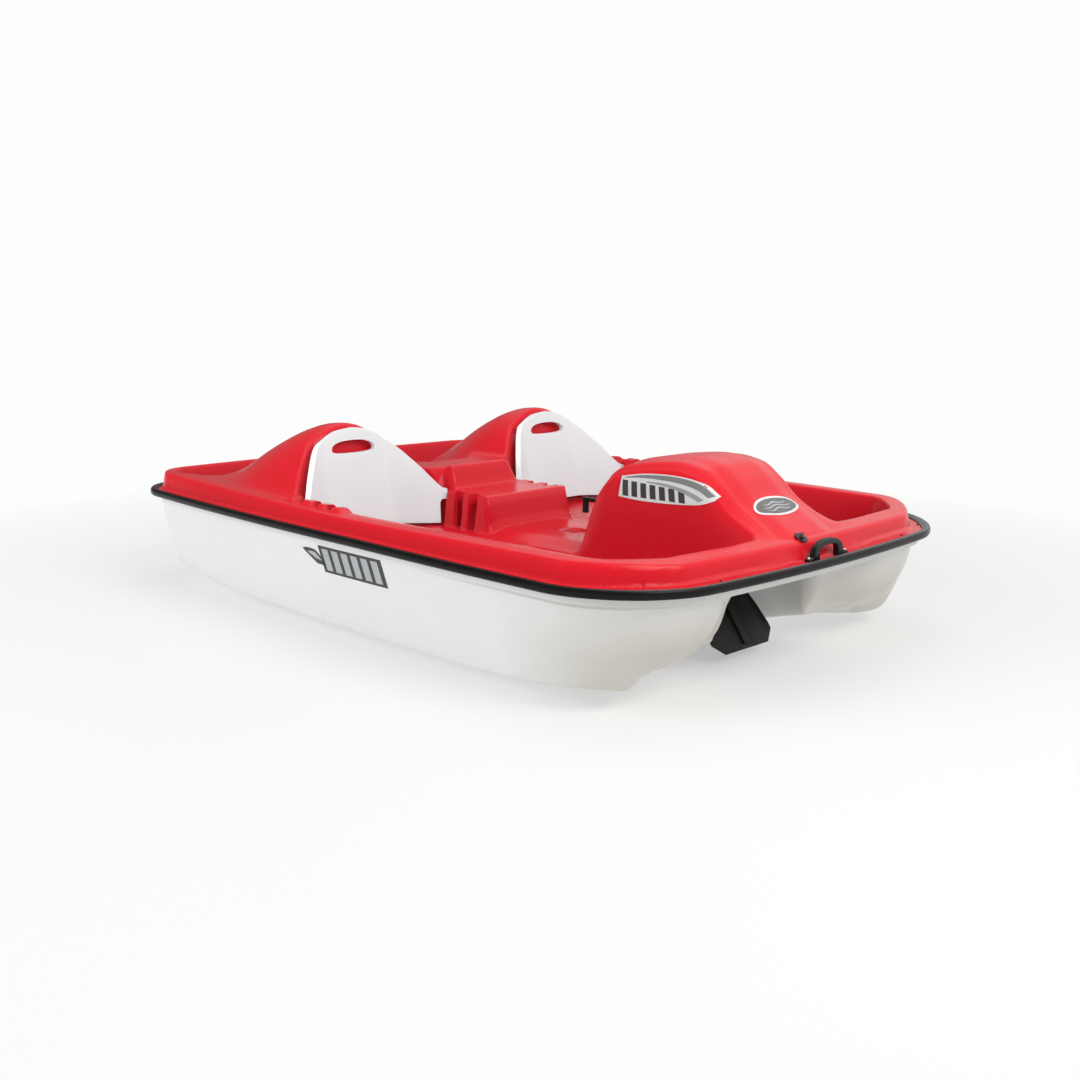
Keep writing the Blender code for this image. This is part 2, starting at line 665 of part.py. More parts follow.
def cut_skin_holes(deck, hull):
    """Holes for the shaft, steering column, rudder stock and drain plug."""
    shaft = [cylinder(f"shaft_hole_{sign}", None, (WHEEL_X, sign * 0.215, WHEEL_Z), ACROSS,
                      0.0225, 0.150) for sign in (-1, 1)]
    column = cylinder("column_hole", None, (STEER_X, 0, 0.24), UP, 0.0165, 0.140)
    stock = cylinder("stock_hole", None, (RUDDER_X, 0, 0.20), UP, 0.0165, 0.060)
    drain = cylinder("drain_hole", None, DRAIN, DRAIN_NORMAL, 0.0125, 0.05)
    for skin, holes in ((deck, shaft + [column, drain]), (hull, shaft + [column, stock])):
        for hole in holes:
            boolean(skin, hole)
        bake(skin)
        shade(skin, 50)


def build_skins():
    deck = moulded_skin("deck", RED, deck_z, DECK_X, DECK_HALF_Y, DECK_RINGS,
                        triangles=2250, flip=False)
    hull = moulded_skin("hull", WHITE, hull_z, HULL_X, HULL_HALF_Y, HULL_RINGS,
                        triangles=1600, flip=True)
    cut_skin_holes(deck, hull)


# ------------------------------------------------------------------ bumper rail
# (inset, z) round the channel section
RAIL_SECTION = [
    (0.0240, 0.3452), (0.0240, 0.3478), (0.0085, 0.3512), (0.0018, 0.3470), (0.0, 0.3385),
    (0.0018, 0.3300), (0.0085, 0.3262), (0.0220, 0.3300), (0.0220, 0.3346), (0.0036, 0.3346),
    (0.0036, 0.3452)]


def plan_outline(inset):
    """Points (x, y) round the boat at inset from the outside."""
    length, beam = HALF_LENGTH - inset, BASE_BEAM - inset
    bow_r, stern_r = R_BOW - inset, R_STERN - inset
    bow_x, bow_y = length - bow_r, beam - bow_r
    stern_x, stern_y = -(length - stern_r), beam - stern_r
    points = []

    def arc(x, y, r, start, end, count):
        for i in range(count):
            a = math.radians(start + (end - start) * i / count)
            points.append((x + r * math.cos(a), y + r * math.sin(a)))

    def line(x0, y0, x1, y1, count):
        for i in range(count):
            points.append((x0 + (x1 - x0) * i / count, y0 + (y1 - y0) * i / count))

    line(length, -bow_y, length, bow_y, 6)
    arc(bow_x, bow_y, bow_r, 0, 90, 8)
    line(bow_x, beam, stern_x, beam, 9)
    arc(stern_x, stern_y, stern_r, 90, 180, 5)
    line(-length, stern_y, -length, -stern_y, 6)
    arc(stern_x, -stern_y, stern_r, 180, 270, 5)
    line(stern_x, -beam, bow_x, -beam, 9)
    arc(bow_x, -bow_y, bow_r, 270, 360, 8)
    plain = np.array(points)
    return np.stack(warp(plain[:, 0], plain[:, 1]), 1)


def build_bumper_rail():
    """A channel section swept round the outside of the flange."""
    rings = []
    for inset, z in RAIL_SECTION:
        plan = plan_outline(inset)
        rings.append(np.concatenate([plan, (z + sheer(plan[:, 0]))[:, None]], 1))
    count = len(rings[0])
    faces = []
    for k in range(len(rings)):
        m = (k + 1) % len(rings)
        for i in range(count):
            j = (i + 1) % count
            faces.append((k * count + i, k * count + j, m * count + j, m * count + i))
    mesh = bpy.data.meshes.new("bumper_rail")
    mesh.from_pydata([tuple(p) for p in np.concatenate(rings).tolist()], [], faces)
    bm = bmesh.new()
    bm.from_mesh(mesh)
    bmesh.ops.recalc_face_normals(bm, faces=bm.faces)
    add("bumper_rail", to_mesh(bm, mesh), RAIL, sharp=60)


# ------------------------------------------------------------------ flotation foam
FOAM_Y = (0.310, 0.590)
# (place, aft x, forward x, bottom, top)
FOAM_BLOCKS = (("seat", -0.18, 0.16, 0.055, 0.205), ("stern", -0.92, -0.58, 0.105, 0.225))


def build_foam():
    for side, sign in SIDES:
        y_low, y_high = sorted(sign * y for y in FOAM_Y)
        for place, aft, forward, bottom, top in FOAM_BLOCKS:
            block(f"flotation_foam_{place}_{side}", FOAM, (aft, y_low, bottom),
                  (forward, y_high, top), bevel=0.012)


# ------------------------------------------------------------------ crankshaft and bushes
SHAFT_BORE = 0.0098        # radius of the bore in the bushes and the hub
BUSH_R, BUSH_FLANGE_R = 0.0218, 0.0330
BUSH_SHOULDER, BUSH_LENGTH = 0.074, 0.080
CAP_R = 0.0135


def build_shaft_bushes():
    """Flanged bushes, with the flanges at their outboard ends."""
    profile = [(SHAFT_BORE, 0.0), (SHAFT_BORE, BUSH_LENGTH), (BUSH_FLANGE_R, BUSH_LENGTH),
               (BUSH_FLANGE_R, BUSH_SHOULDER), (BUSH_R, BUSH_SHOULDER), (BUSH_R, 0.0)]
    for side, sign in SIDES:
        turned(f"shaft_bush_{side}", NYLON, profile, (WHEEL_X, sign * 0.172, WHEEL_Z),
               (0, sign, 0), close=True)


def crank_path(sign):
    """Corners of one side of the crankshaft, from its end in to the innermost web."""
    ahead, behind = WHEEL_X + CRANK_THROW * sign, WHEEL_X - CRANK_THROW * sign
    return [(ahead, sign * ROD_END, WHEEL_Z), (ahead, sign * WEB_MID, WHEEL_Z),
            (behind, sign * WEB_MID, WHEEL_Z), (behind, sign * WEB_IN, WHEEL_Z),
            (WHEEL_X, sign * WEB_IN, WHEEL_Z)]


def build_crankshaft():
    bent_rod("crankshaft", STEEL, crank_path(-1) + crank_path(1)[::-1], ROD_R,
             bend=0.015, bend_steps=3)
    for side, sign in SIDES:
        turned(f"crank_end_cap_{side}", BLACK,
               [(0.0, 0.0125), (0.010, 0.0125), (CAP_R, 0.009), (CAP_R, -0.004), (0.0, -0.004)],
               (WHEEL_X + CRANK_THROW * sign, sign * (ROD_END + 0.0044), WHEEL_Z), (0, sign, 0))


def pedal(name, x, y):
    at = Vector((x, y, WHEEL_Z))
    half = Vector((PEDAL_L / 2, PEDAL_W / 2, PEDAL_T / 2))
    body = block(f"pedal_{name}", BLACK, at - half, at + half, bevel=0.006)
    boss = cylinder("boss", BLACK, at, ACROSS, 0.0165, PEDAL_W - 0.004, segments=16)
    join_all(body, [boss])
    drill(body, f"bore_{name}", at, ACROSS, ROD_R + 0.0008, PEDAL_W + 0.02, segments=16)
    shade(body, 35)


def build_pedals():
    for side, sign in SIDES:
        pedal(f"outer_{side}", WHEEL_X + CRANK_THROW * sign, sign * PIN_OUT)
        pedal(f"inner_{side}", WHEEL_X - CRANK_THROW * sign, sign * PIN_IN)


# ------------------------------------------------------------------ paddle wheel
HUB_HALF = 0.060           # half length of the hub
HUB_R, HUB_END_R, HUB_BARREL = 0.034, 0.022, 0.045
BLADE_T = 0.006
# (distance from the wheel's axis, half width)
BLADE_EDGE = [(0.036, 0.046), (0.066, 0.104), (0.150, 0.128), (0.215, 0.139), (0.234, 0.138),
              (WHEEL_R, 0.098)]
RIB_START, RIB_END = 0.0365, 0.258
RIB_HALF_WIDTH, RIB_HALF_DEPTH = 0.006, 0.011
BLADE_HOLE = (0.060, 0.030, 0.0)   # in the blade's frame: outwards, to port, off its plane
SCREW_Y = (-0.030, 0.030)
SCREW_REACH = 0.0375       # middle of a set screw from the wheel's axis


def build_hub():
    turned("paddle_hub", BLADE_PLASTIC,
           [(SHAFT_BORE, HUB_HALF), (HUB_END_R, HUB_HALF), (HUB_R, HUB_BARREL),
            (HUB_R, -HUB_BARREL), (HUB_END_R, -HUB_HALF), (SHAFT_BORE, -HUB_HALF)],
           (WHEEL_X, 0, WHEEL_Z), ACROSS, steps=20, close=True)
    # set screws that lock the hub to the shaft, halfway between two blades
    angle = BLADE_PHASE + math.pi / BLADES
    for k, y in enumerate(SCREW_Y):
        at = (WHEEL_X + math.sin(angle) * SCREW_REACH, y,
              WHEEL_Z - math.cos(angle) * SCREW_REACH)
        cylinder(f"hub_screw_{k + 1}", STEEL, at, (math.sin(angle), 0, -math.cos(angle)),
                 0.006, 0.006, segments=6, chamfer=0.001)


def build_blades():
    """Flat blades, each with a rib down its middle and one hole."""
    outline = BLADE_EDGE + [(r, -width) for r, width in reversed(BLADE_EDGE)]
    for k in range(BLADES):
        angle = BLADE_PHASE + 2 * math.pi * k / BLADES
        radial = Vector((math.sin(angle), 0, -math.cos(angle)))
        normal = Vector((math.cos(angle), 0, math.sin(angle)))
        frame = Matrix((radial, Vector(ACROSS), normal)).transposed().to_4x4()
        frame.translation = (WHEEL_X, 0, WHEEL_Z)
        blade = plate(f"paddle_blade_{k + 1}", BLADE_PLASTIC, outline, BLADE_T, frame)
        rib = block("rib", BLADE_PLASTIC, (RIB_START, -RIB_HALF_WIDTH, -RIB_HALF_DEPTH),
                    (RIB_END, RIB_HALF_WIDTH, RIB_HALF_DEPTH), bevel=0.0015, turn=frame)
        join_all(blade, [rib])
        drill(blade, f"blade_cut_{k}", frame @ Vector(BLADE_HOLE), normal, 0.0043, 0.05,
              segments=12)


# ------------------------------------------------------------------ steering
ROD_AND_STOCK_R = 0.0080   # steering column and rudder stock
BUSH_BORE, BUSH_BODY_R = 0.0088, 0.0158
COLUMN_TOP = 0.3785
STOCK_LOW, STOCK_HIGH = 0.060, 0.2150
ARM_Z, ARM_T = LINK_Z - 0.0045, 0.008
ARM_HALF_WIDTH = 0.010
BORE_R = 0.0084            # bore of the arms and of the rudder blade
TIE_Z, TIE_T = LINK_Z - 0.0145, 0.006
TIE_HALF_WIDTH = 0.006
GRIP_X = 0.288
TILLER_Z = 0.387
CLIP_R = 0.0090
NUT_BORE, NUT_R = 0.0098, 0.0150


def upright_bush(name, x, low, shoulder, high, flange_r):
    """A bush with its flange at the top, from shoulder to high."""
    turned(name, NYLON,
           [(BUSH_BORE, high), (flange_r, high), (flange_r, shoulder), (BUSH_BODY_R, shoulder),
            (BUSH_BODY_R, low), (BUSH_BORE, low)], (x, 0, 0), UP, steps=20, close=True)


def link_arm(name, x, bore_name):
    """An arm to port from the centreline, with an eye and a pin at its end."""
    arm = cylinder(name, STEEL, (x, 0, ARM_Z), UP, 0.016, ARM_T)
    bar = block("bar", STEEL, (x - ARM_HALF_WIDTH, 0, ARM_Z - ARM_T / 2),
                (x + ARM_HALF_WIDTH, ARM, ARM_Z + ARM_T / 2))
    eye = cylinder("eye", STEEL, (x, ARM, ARM_Z), UP, 0.013, ARM_T)
    pin = cylinder("pin", STEEL, (x, ARM, LINK_Z - 0.0135), UP, 0.0045, 0.014, segments=16)
    join_all(arm, [bar, eye, pin])
    drill(arm, bore_name, (x, 0, LINK_Z), UP, BORE_R, 0.05)


def build_steering_column():
    upright_bush("steering_bush", STEER_X, 0.188, 0.2790, 0.2840, 0.0260)
    post("steering_column", STEEL, STEER_X, LINK_Z, COLUMN_TOP, ROD_AND_STOCK_R)
    link_arm("steering_arm", STEER_X, "arm_bore_s")


def build_tiller():
    arm = cylinder("tiller_arm", BLACK, (STEER_X, 0, TILLER_Z), UP, 0.0175, 0.016)
    neck = block("neck", BLACK, (GRIP_X + 0.004, -0.0085, TILLER_Z - 0.0055),
                 (STEER_X - 0.004, 0.0085, TILLER_Z + 0.0055), bevel=0.002)
    root = cylinder("root", BLACK, (GRIP_X, 0, TILLER_Z), UP, 0.0110, 0.011, segments=16)
    join_all(arm, [neck, root])
    turned("tiller_grip", BLACK,
           [(0.0, 0.3812), (0.0075, 0.3812), (0.0095, 0.3780), (0.0085, 0.3640),
            (0.0105, 0.3480), (0.0085, 0.3420), (0.0, 0.3420)], (GRIP_X, 0, 0), UP)


def build_tie_rod():
    """Flat rod between the pins of the two arms, held by a clip under each end."""
    tie = block("tie_rod", STEEL, (RUDDER_X, ARM - TIE_HALF_WIDTH, TIE_Z - TIE_T / 2),
                (STEER_X, ARM + TIE_HALF_WIDTH, TIE_Z + TIE_T / 2))
    ends = [cylinder("end", STEEL, (x, ARM, TIE_Z), UP, 0.0115, TIE_T)
            for x in (RUDDER_X, STEER_X)]
    join_all(tie, ends)
    for k, x in enumerate((RUDDER_X, STEER_X)):
        boolean(tie, cylinder(f"tie_hole_{k}", None, (x, ARM, TIE_Z), UP, 0.0051, 0.03,
                              segments=16))
    bake(tie)
    for name, x in (("steering_link_clip", STEER_X), ("rudder_link_clip", RUDDER_X)):
        turned(name, STEEL, [(0.0, -0.0210), (CLIP_R, -0.0210), (CLIP_R, -0.0240), (0.0, -0.0240)],
               (x, ARM, LINK_Z), UP)


def build_rudder():
    upright_bush("rudder_bush", RUDDER_X, 0.186, 0.2052, 0.2105, 0.0230)
    post("rudder_stock", STEEL, RUDDER_X, STOCK_LOW, STOCK_HIGH, ROD_AND_STOCK_R)
    link_arm("rudder_arm", RUDDER_X, "arm_bore_r")
    turned("rudder_stock_nut", STEEL,
           [(NUT_BORE, 0.2190), (NUT_R, 0.2190), (NUT_R, 0.2110), (NUT_BORE, 0.2110)],
           (RUDDER_X, 0, 0), UP, steps=6, close=True)
    blade = block("rudder_blade", BLADE_PLASTIC, (RUDDER_X - 0.105, -0.0070, 0.026),
                  (RUDDER_X + 0.055, 0.0070, 0.140), bevel=0.005)
    join_all(blade, [post("boss", BLADE_PLASTIC, RUDDER_X, 0.040, 0.152, 0.0150)])
    drill(blade, "stock_bore", (RUDDER_X, 0, 0.115), UP, BORE_R, 0.114)


# ------------------------------------------------------------------ seatbacks
# (distance from the seat's middle, z) along the top edge
BACK_TOP = [(0.0, 0.593), (0.0535, 0.586), (0.080, 0.576), (0.11, 0.560), (0.14, 0.541),
            (0.1625, 0.521), (0.18, 0.502), (0.1975, 0.480), (0.2225, 0.448), (0.2425, 0.418),
            (0.2575, 0.397), (0.268, 0.385), (0.279, 0.382)]
BACK_WIDTHS = graded((0.0, 0.085, 0.0283), (0.085, 0.252, 0.0210), (0.252, 0.279, 0.0135))
BACK_ROWS = (0.0, 0.33, 0.70, 1.0)   # shares of the height
HOOK_START, HOOK_BOTTOM = 0.256, 0.347
HAND_Z, HAND_HALF_WIDTH = 0.529, 0.083
HAND_RISE, HAND_FALL = 0.026, 0.018  # hand hole above and below HAND_Z
HAND_POINTS = 18


def hand_hole_outline():
    """A flattened ellipse, a little narrower and shallower in its lower half."""
    outline = []
    for k in range(HAND_POINTS):
        t = 2 * math.pi * k / HAND_POINTS
        upper = math.sin(t) > 0
        outline.append((HAND_HALF_WIDTH * math.cos(t) * (1.0 if upper else 0.98),
                        HAND_Z + (HAND_RISE if upper else HAND_FALL) * math.sin(t)))
    return outline


def build_seatback(side, sign):
    """A curved panel, formed over a grid of its height and width, with a hand hole and
    hooked ends."""
    name = f"seatback_{side}"
    half_top = along(BACK_TOP, BACK_WIDTHS)
    across = mirrored(BACK_WIDTHS)
    top = np.concatenate([half_top[:0:-1], half_top])
    n = len(across)
    points = []
    for share in BACK_ROWS:
        for a, high in zip(across, top):
            z = toward(HOOK_BOTTOM if abs(a) > HOOK_START else BACK_BOTTOM, high, share)
            # the outboard half narrows towards the bottom
            taper = 0.035 if a > 0 else 0.0
            off = SEAT_Y + a * (1.0 - taper * max(0.0, 0.350 - z) / 0.082)
            points.append((float(back_x(off, z)), sign * off, z))
    faces = [(i * n + j, i * n + j + 1, (i + 1) * n + j + 1, (i + 1) * n + j)
             for i in range(len(BACK_ROWS) - 1) for j in range(n - 1)]
    mesh = bpy.data.meshes.new(name)
    mesh.from_pydata(points, [], faces if sign < 0 else [f[::-1] for f in faces])
    obj = add(name, mesh, SEAT_WHITE)
    shell = obj.modifiers.new("thickness", "SOLIDIFY")
    shell.thickness = BACK_T
    shell.offset = 0.0
    rounding = obj.modifiers.new("edges", "BEVEL")
    rounding.width = 0.004
    rounding.segments = 1
    rounding.limit_method = "ANGLE"
    rounding.angle_limit = math.radians(50)
    bake(obj)
    boolean(obj, plate(name + "_hand_hole", None, hand_hole_outline(), 0.16,
                       cross_frame(-0.34, sign * SEAT_Y, 0)))
    bake(obj)
    shade(obj, 40)


# ------------------------------------------------------------------ bow fittings
HANDLE_X = 1.170
HANDLE_T = 0.018
HANDLE_Z = Z_DECK_FLANGE - BOW_DROP + 0.0004
# (distance off the centreline, height above HANDLE_Z) of one foot, from its outer end
HANDLE_FOOT = [(0.092, 0.0), (0.092, 0.007), (0.076, 0.012)]
HANDLE_SCREW_Y = 0.0865
RIVET_INSET = 0.0390
RIVET_STARTS = ((1.150, -0.430), (1.150, 0.430), (1.060, -0.600), (1.060, 0.600))   # (x, y)


def arch(half, height, power, count):
    """Points over an arch from its port foot to the other, as (y, z)."""
    out = []
    for k in range(count + 1):
        a = math.pi * k / count
        out.append((half * math.copysign(abs(math.cos(a)) ** power, math.cos(a)),
                    height * math.sin(a) ** power))
    return out


def build_bow_handle():
    outer = (HANDLE_FOOT + arch(0.070, 0.052, 0.80, 14)[1:-1]
             + [(-y, z) for y, z in reversed(HANDLE_FOOT)])
    inner = arch(0.043, 0.036, 0.45, 12)
    plate("bow_handle", BLACK, outer + inner[::-1], HANDLE_T, cross_frame(HANDLE_X, 0, HANDLE_Z))
    for side, sign in SIDES:
        turned(f"bow_handle_screw_{side}", STEEL,
               [(0.0, 0.0030), (0.0030, 0.0026), (0.0048, 0.0), (0.0, 0.0)],
               (HANDLE_X, sign * HANDLE_SCREW_Y, HANDLE_Z + 0.0090), (0.0, sign * 0.28, 0.96),
               steps=12)


def build_drain_plug():
    turned("drain_plug", BLACK,
           [(0.0, 0.0100), (0.0090, 0.0095), (0.0095, 0.0045), (0.0190, 0.0040),
            (0.0190, 0.0012), (0.0118, 0.0012), (0.0110, -0.018), (0.0, -0.018)],
           DRAIN + DRAIN_NORMAL * 0.0022, DRAIN_NORMAL, steps=20)


def inset_at(x, y):
    return float(inset_of(np.array([x]), np.array([y]))[0][0])


def slide_to_inset(x, y, wanted):
    """Moves a point straight in or out until it lies at the wanted inset."""
    reach = 1e-4
    for _ in range(30):
        error = inset_at(x, y) - wanted
        slope = np.array([inset_at(x + reach, y) - inset_at(x - reach, y),
                          inset_at(x, y + reach) - inset_at(x, y - reach)]) / (2 * reach)
        step = error / max(float(slope @ slope), 0.1)
        x, y = x - slope[0] * step, y - slope[1] * step
    return x, y


def build_rivets():
    for k, start in enumerate(RIVET_STARTS):
        x, y = slide_to_inset(*start, RIVET_INSET)
        turned(f"flange_rivet_{k + 1}", BLACK,
               [(0.0, 0.0024), (0.0022, 0.0020), (0.0036, 0.0006), (0.0036, 0.0), (0.0, 0.0)],
               (x, y, Z_DECK_FLANGE + float(sheer(x)) + 0.0004), UP, steps=10)


# ------------------------------------------------------------------ the boat
build_skins()
build_bumper_rail()
build_foam()
build_shaft_bushes()
build_crankshaft()
build_hub()
build_blades()
build_pedals()
build_steering_column()
build_tiller()
build_tie_rod()
build_rudder()
for seat_side, seat_sign in SIDES:
    build_seatback(seat_side, seat_sign)
build_bow_handle()
build_drain_plug()
build_rivets()
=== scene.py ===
import json
import math

import bmesh
import bpy
import numpy as np
from mathutils import Matrix, Vector


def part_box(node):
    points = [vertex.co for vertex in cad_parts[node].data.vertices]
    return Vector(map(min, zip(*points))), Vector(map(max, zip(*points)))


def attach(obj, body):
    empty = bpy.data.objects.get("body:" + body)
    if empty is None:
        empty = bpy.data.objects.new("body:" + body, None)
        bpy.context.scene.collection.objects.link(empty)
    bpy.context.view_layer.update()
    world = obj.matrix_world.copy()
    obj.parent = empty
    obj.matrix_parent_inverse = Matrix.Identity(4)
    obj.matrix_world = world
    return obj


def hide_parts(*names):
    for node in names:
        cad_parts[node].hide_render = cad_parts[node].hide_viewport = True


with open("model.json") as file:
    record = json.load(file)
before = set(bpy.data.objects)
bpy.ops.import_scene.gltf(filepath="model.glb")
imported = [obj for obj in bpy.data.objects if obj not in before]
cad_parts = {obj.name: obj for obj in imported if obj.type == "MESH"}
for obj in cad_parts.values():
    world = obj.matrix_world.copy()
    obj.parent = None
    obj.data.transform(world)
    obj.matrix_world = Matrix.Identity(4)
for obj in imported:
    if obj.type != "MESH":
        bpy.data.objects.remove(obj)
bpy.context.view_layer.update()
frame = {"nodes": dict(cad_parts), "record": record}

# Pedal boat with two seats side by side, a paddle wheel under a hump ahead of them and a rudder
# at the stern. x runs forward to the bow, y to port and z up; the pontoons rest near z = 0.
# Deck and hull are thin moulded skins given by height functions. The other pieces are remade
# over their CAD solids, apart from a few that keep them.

# ------------------------------------------------------------------ driving dimensions
HALF_LENGTH = 1.205
BASE_BEAM = 0.780          # half beam of the plain rounded rectangle, before its sides are bowed
BEAM_STERN, BEAM_BOW, BEAM_BULGE = 0.791, 0.769, 0.047
BOW_SWEEP, STERN_SWEEP = 0.056, 0.031
R_BOW, R_STERN = 0.280, 0.161
SHEET = 0.004              # wall thickness of the moulded skins
Z_DECK_FLANGE = 0.3445     # top of the deck flange, amidships and aft
Z_HULL_FLANGE = 0.3355     # underside of the hull flange, amidships and aft
BOW_DROP = 0.0110          # how much lower both flanges run at the bow
EDGE_INSET = 0.006         # flange edge to outside of bumper rail
CORE = 0.125               # depth of the rim band, measured in from the outside
RAIL_LIP = 0.0240          # inset of the rail's inner edge on the deck

FOOTWELL_Z = 0.085
PAN_Z = 0.250
LEDGE_Z = 0.278
BASIN_Z = 0.262
TUNNEL_ROOF_Z = 0.200
CUP_X = 0.245

WHEEL_X, WHEEL_Z = 0.770, 0.250
WHEEL_R = 0.269
DOME_R = 0.283
BLADES = 5
BLADE_PHASE = math.radians(36.0)   # first blade, forward of straight down
CRANK_THROW = 0.105
ROD_R = 0.009
PIN_IN, PIN_OUT = 0.336, 0.464     # |y| of the middles of the two pedal pins
PEDAL_L, PEDAL_W, PEDAL_T = 0.084, 0.088, 0.024
WEB_IN, WEB_MID, ROD_END = 0.272, 0.400, 0.522   # |y| of the crank webs and of the rod ends

SEAT_Y = 0.4425
BACK_T = 0.018
BACK_BOTTOM = 0.268
BACK_LEAN = 0.2

STEER_X = 0.405
RUDDER_X = -1.045
ARM = 0.080                # throw of the two link arms
LINK_Z = 0.168
GRIP_X = 0.288

ACROSS, UP = (0, 1, 0), (0, 0, 1)
SIDES = (("port", 1), ("starboard", -1))


# ------------------------------------------------------------------ plan shape
def ease(start, end, value):
    """0 before start, 1 after end, smooth between. start may be the larger."""
    part = np.clip((value - start) / (end - start), 0.0, 1.0)
    return part * part * (3 - 2 * part)


def smooth_max(one, other, blend):
    overlap = np.maximum(blend - np.abs(one - other), 0.0) / blend
    return np.maximum(one, other) + overlap * overlap * blend / 4


def sheer(x):
    """Height of the flanges at x, against amidships."""
    part = np.clip((x - 0.15) / 0.95, 0.0, 1.0)
    return -BOW_DROP * part ** 1.15 * (1.0 + 0.15 * (1.0 - part))


def beam_scale(x):
    part = np.clip(x / HALF_LENGTH, -1, 1)
    half = BEAM_STERN + (BEAM_BOW - BEAM_STERN) * (part + 1) / 2 + BEAM_BULGE * (1 - part * part)
    return half / BASE_BEAM


def swept_x(x, y, amount=1.0):
    """x with the bow and stern lines curved back toward amidships at their sides."""
    out = np.clip(y / BASE_BEAM, -1.2, 1.2)
    bow = ease(0.2, HALF_LENGTH, x)
    stern = ease(-0.2, -HALF_LENGTH, x)
    return x - BOW_SWEEP * out * out * bow * amount + STERN_SWEEP * out * out * stern * amount


def warp(x, y):
    """Plain rounded rectangle to the real plan: bowed sides, swept bow and stern."""
    return swept_x(x, y), y * beam_scale(x)


def straightened(x, y):
    """The warp, but with the middle of the boat kept straight so its features follow the grid."""
    wide = np.maximum(ease(0.24, 0.52, np.abs(y)), ease(0.90, 1.06, np.abs(x)))
    return swept_x(x, y, wide), y * (1 + (beam_scale(x) - 1) * wide)


def unwarp(x, y):
    plain_x, plain_y = np.array(x, float), np.array(y, float)
    for _ in range(6):
        real_x, real_y = warp(plain_x, plain_y)
        plain_x, plain_y = (plain_x + (x - real_x),
                            plain_y + (y - real_y) / beam_scale(plain_x))
    return plain_x, plain_y


def inset_of(x, y):
    """How far in from the outside of the rail a point lies, and how much it faces bow and stern."""
    plain_x, plain_y = unwarp(x, y)
    end = HALF_LENGTH - np.abs(plain_x)
    side = BASE_BEAM - np.abs(plain_y)
    radius = np.where(plain_x > 0, R_BOW, R_STERN)
    corner = (end < radius) & (side < radius)
    reach = np.hypot(radius - end, radius - side)
    inset = np.where(corner, radius - reach, np.minimum(end, side))
    facing = np.where(corner, ((radius - end) / np.maximum(reach, 1e-6)) ** 2,
                      ease(-0.05, 0.05, side - end))
    return inset, facing * (plain_x > 0), facing * (plain_x < 0)


def graded(*stretches):
    """Stations from stretches (start, end, spacing)."""
    out = []
    for start, end, spacing in stretches:
        count = max(1, round(abs(end - start) / spacing))
        out += [start + (end - start) * k / count for k in range(count)]
    out.append(stretches[-1][1])
    return np.array(out)


def plan_grid(along, across, insets):
    """Points (x, y) and faces over the plan: a core grid inside CORE, and rings from it out to
    the edge. along and across run -1..1 over the core; insets has the inmost ring first."""
    bow_r, stern_r = R_BOW - CORE, R_STERN - CORE
    length, beam = HALF_LENGTH - CORE, BASE_BEAM - CORE
    diagonal = math.sqrt(0.5)
    # the grid's corners lie halfway round the core's rounded corners
    bow_x = length - bow_r + bow_r * diagonal
    stern_x = -(length - stern_r + stern_r * diagonal)
    bow_y = beam - bow_r + bow_r * diagonal
    stern_y = beam - stern_r + stern_r * diagonal

    def side(x):
        """Core outline and outward normal at x on the port side."""
        if x > length - bow_r:
            centre, radius = np.array([length - bow_r, beam - bow_r]), bow_r
        elif x < -(length - stern_r):
            centre, radius = np.array([-(length - stern_r), beam - stern_r]), stern_r
        else:
            return np.array([x, beam]), np.array([0.0, 1.0])
        lean = (x - centre[0]) / radius
        normal = np.array([lean, math.sqrt(max(0.0, 1 - lean * lean))])
        return centre + radius * normal, normal

    def end(y, sign, radius):
        """The same at y, on the bow (sign 1) or the stern (-1)."""
        if abs(y) <= beam - radius:
            return np.array([sign * length, y]), np.array([sign * 1.0, 0.0])
        lean = (abs(y) - (beam - radius)) / radius
        normal = np.array([sign * math.sqrt(max(0.0, 1 - lean * lean)), math.copysign(lean, y)])
        centre = np.array([sign * (length - radius), math.copysign(beam - radius, y)])
        return centre + radius * normal, normal

    core_x = stern_x + (bow_x - stern_x) * (along + 1) / 2
    sides = [side(x) for x in core_x]
    bows = [end(bow_y * v, 1, bow_r) for v in across]
    sterns = [end(stern_y * v, -1, stern_r) for v in across]
    port, bow, stern = (np.array([p for p, _ in line]) for line in (sides, bows, sterns))
    starboard = port * [1, -1]
    # fill between the four edges
    fore = ((core_x - core_x[0]) / (core_x[-1] - core_x[0]))[:, None, None]
    left = ((across + 1) / 2)[None, :, None]
    aft, right = 1 - fore, 1 - left
    core = (right * starboard[:, None] + left * port[:, None] + aft * stern[None] + fore * bow[None]
            - aft * right * starboard[0] - fore * right * starboard[-1]
            - aft * left * port[0] - fore * left * port[-1])
    points = [tuple(p) for p in core.reshape(-1, 2)]
    rows, columns = len(core_x), len(across)
    index = np.arange(rows * columns).reshape(rows, columns)
    faces = [(index[i, j], index[i + 1, j], index[i + 1, j + 1], index[i, j + 1])
             for i in range(rows - 1) for j in range(columns - 1)]
    loop = ([(index[i, 0], starboard[i], sides[i][1] * [1, -1]) for i in range(rows - 1)]
            + [(index[-1, j], *bows[j]) for j in range(columns - 1)]
            + [(index[i, -1], *sides[i]) for i in range(rows - 1, 0, -1)]
            + [(index[0, j], *sterns[j]) for j in range(columns - 1, 0, -1)])
    inside = [i for i, _, _ in loop]
    for inset in insets:
        first = len(points)
        points += [tuple(p + normal * (CORE - inset)) for _, p, normal in loop]
        here = list(range(first, first + len(loop)))
        for i in range(len(loop)):
            j = (i + 1) % len(loop)
            faces.append((inside[i], here[i], here[j], inside[j]))
        inside = here
    points = np.array(points)
    x, y = straightened(points[:, 0], points[:, 1])
    return x, y, faces


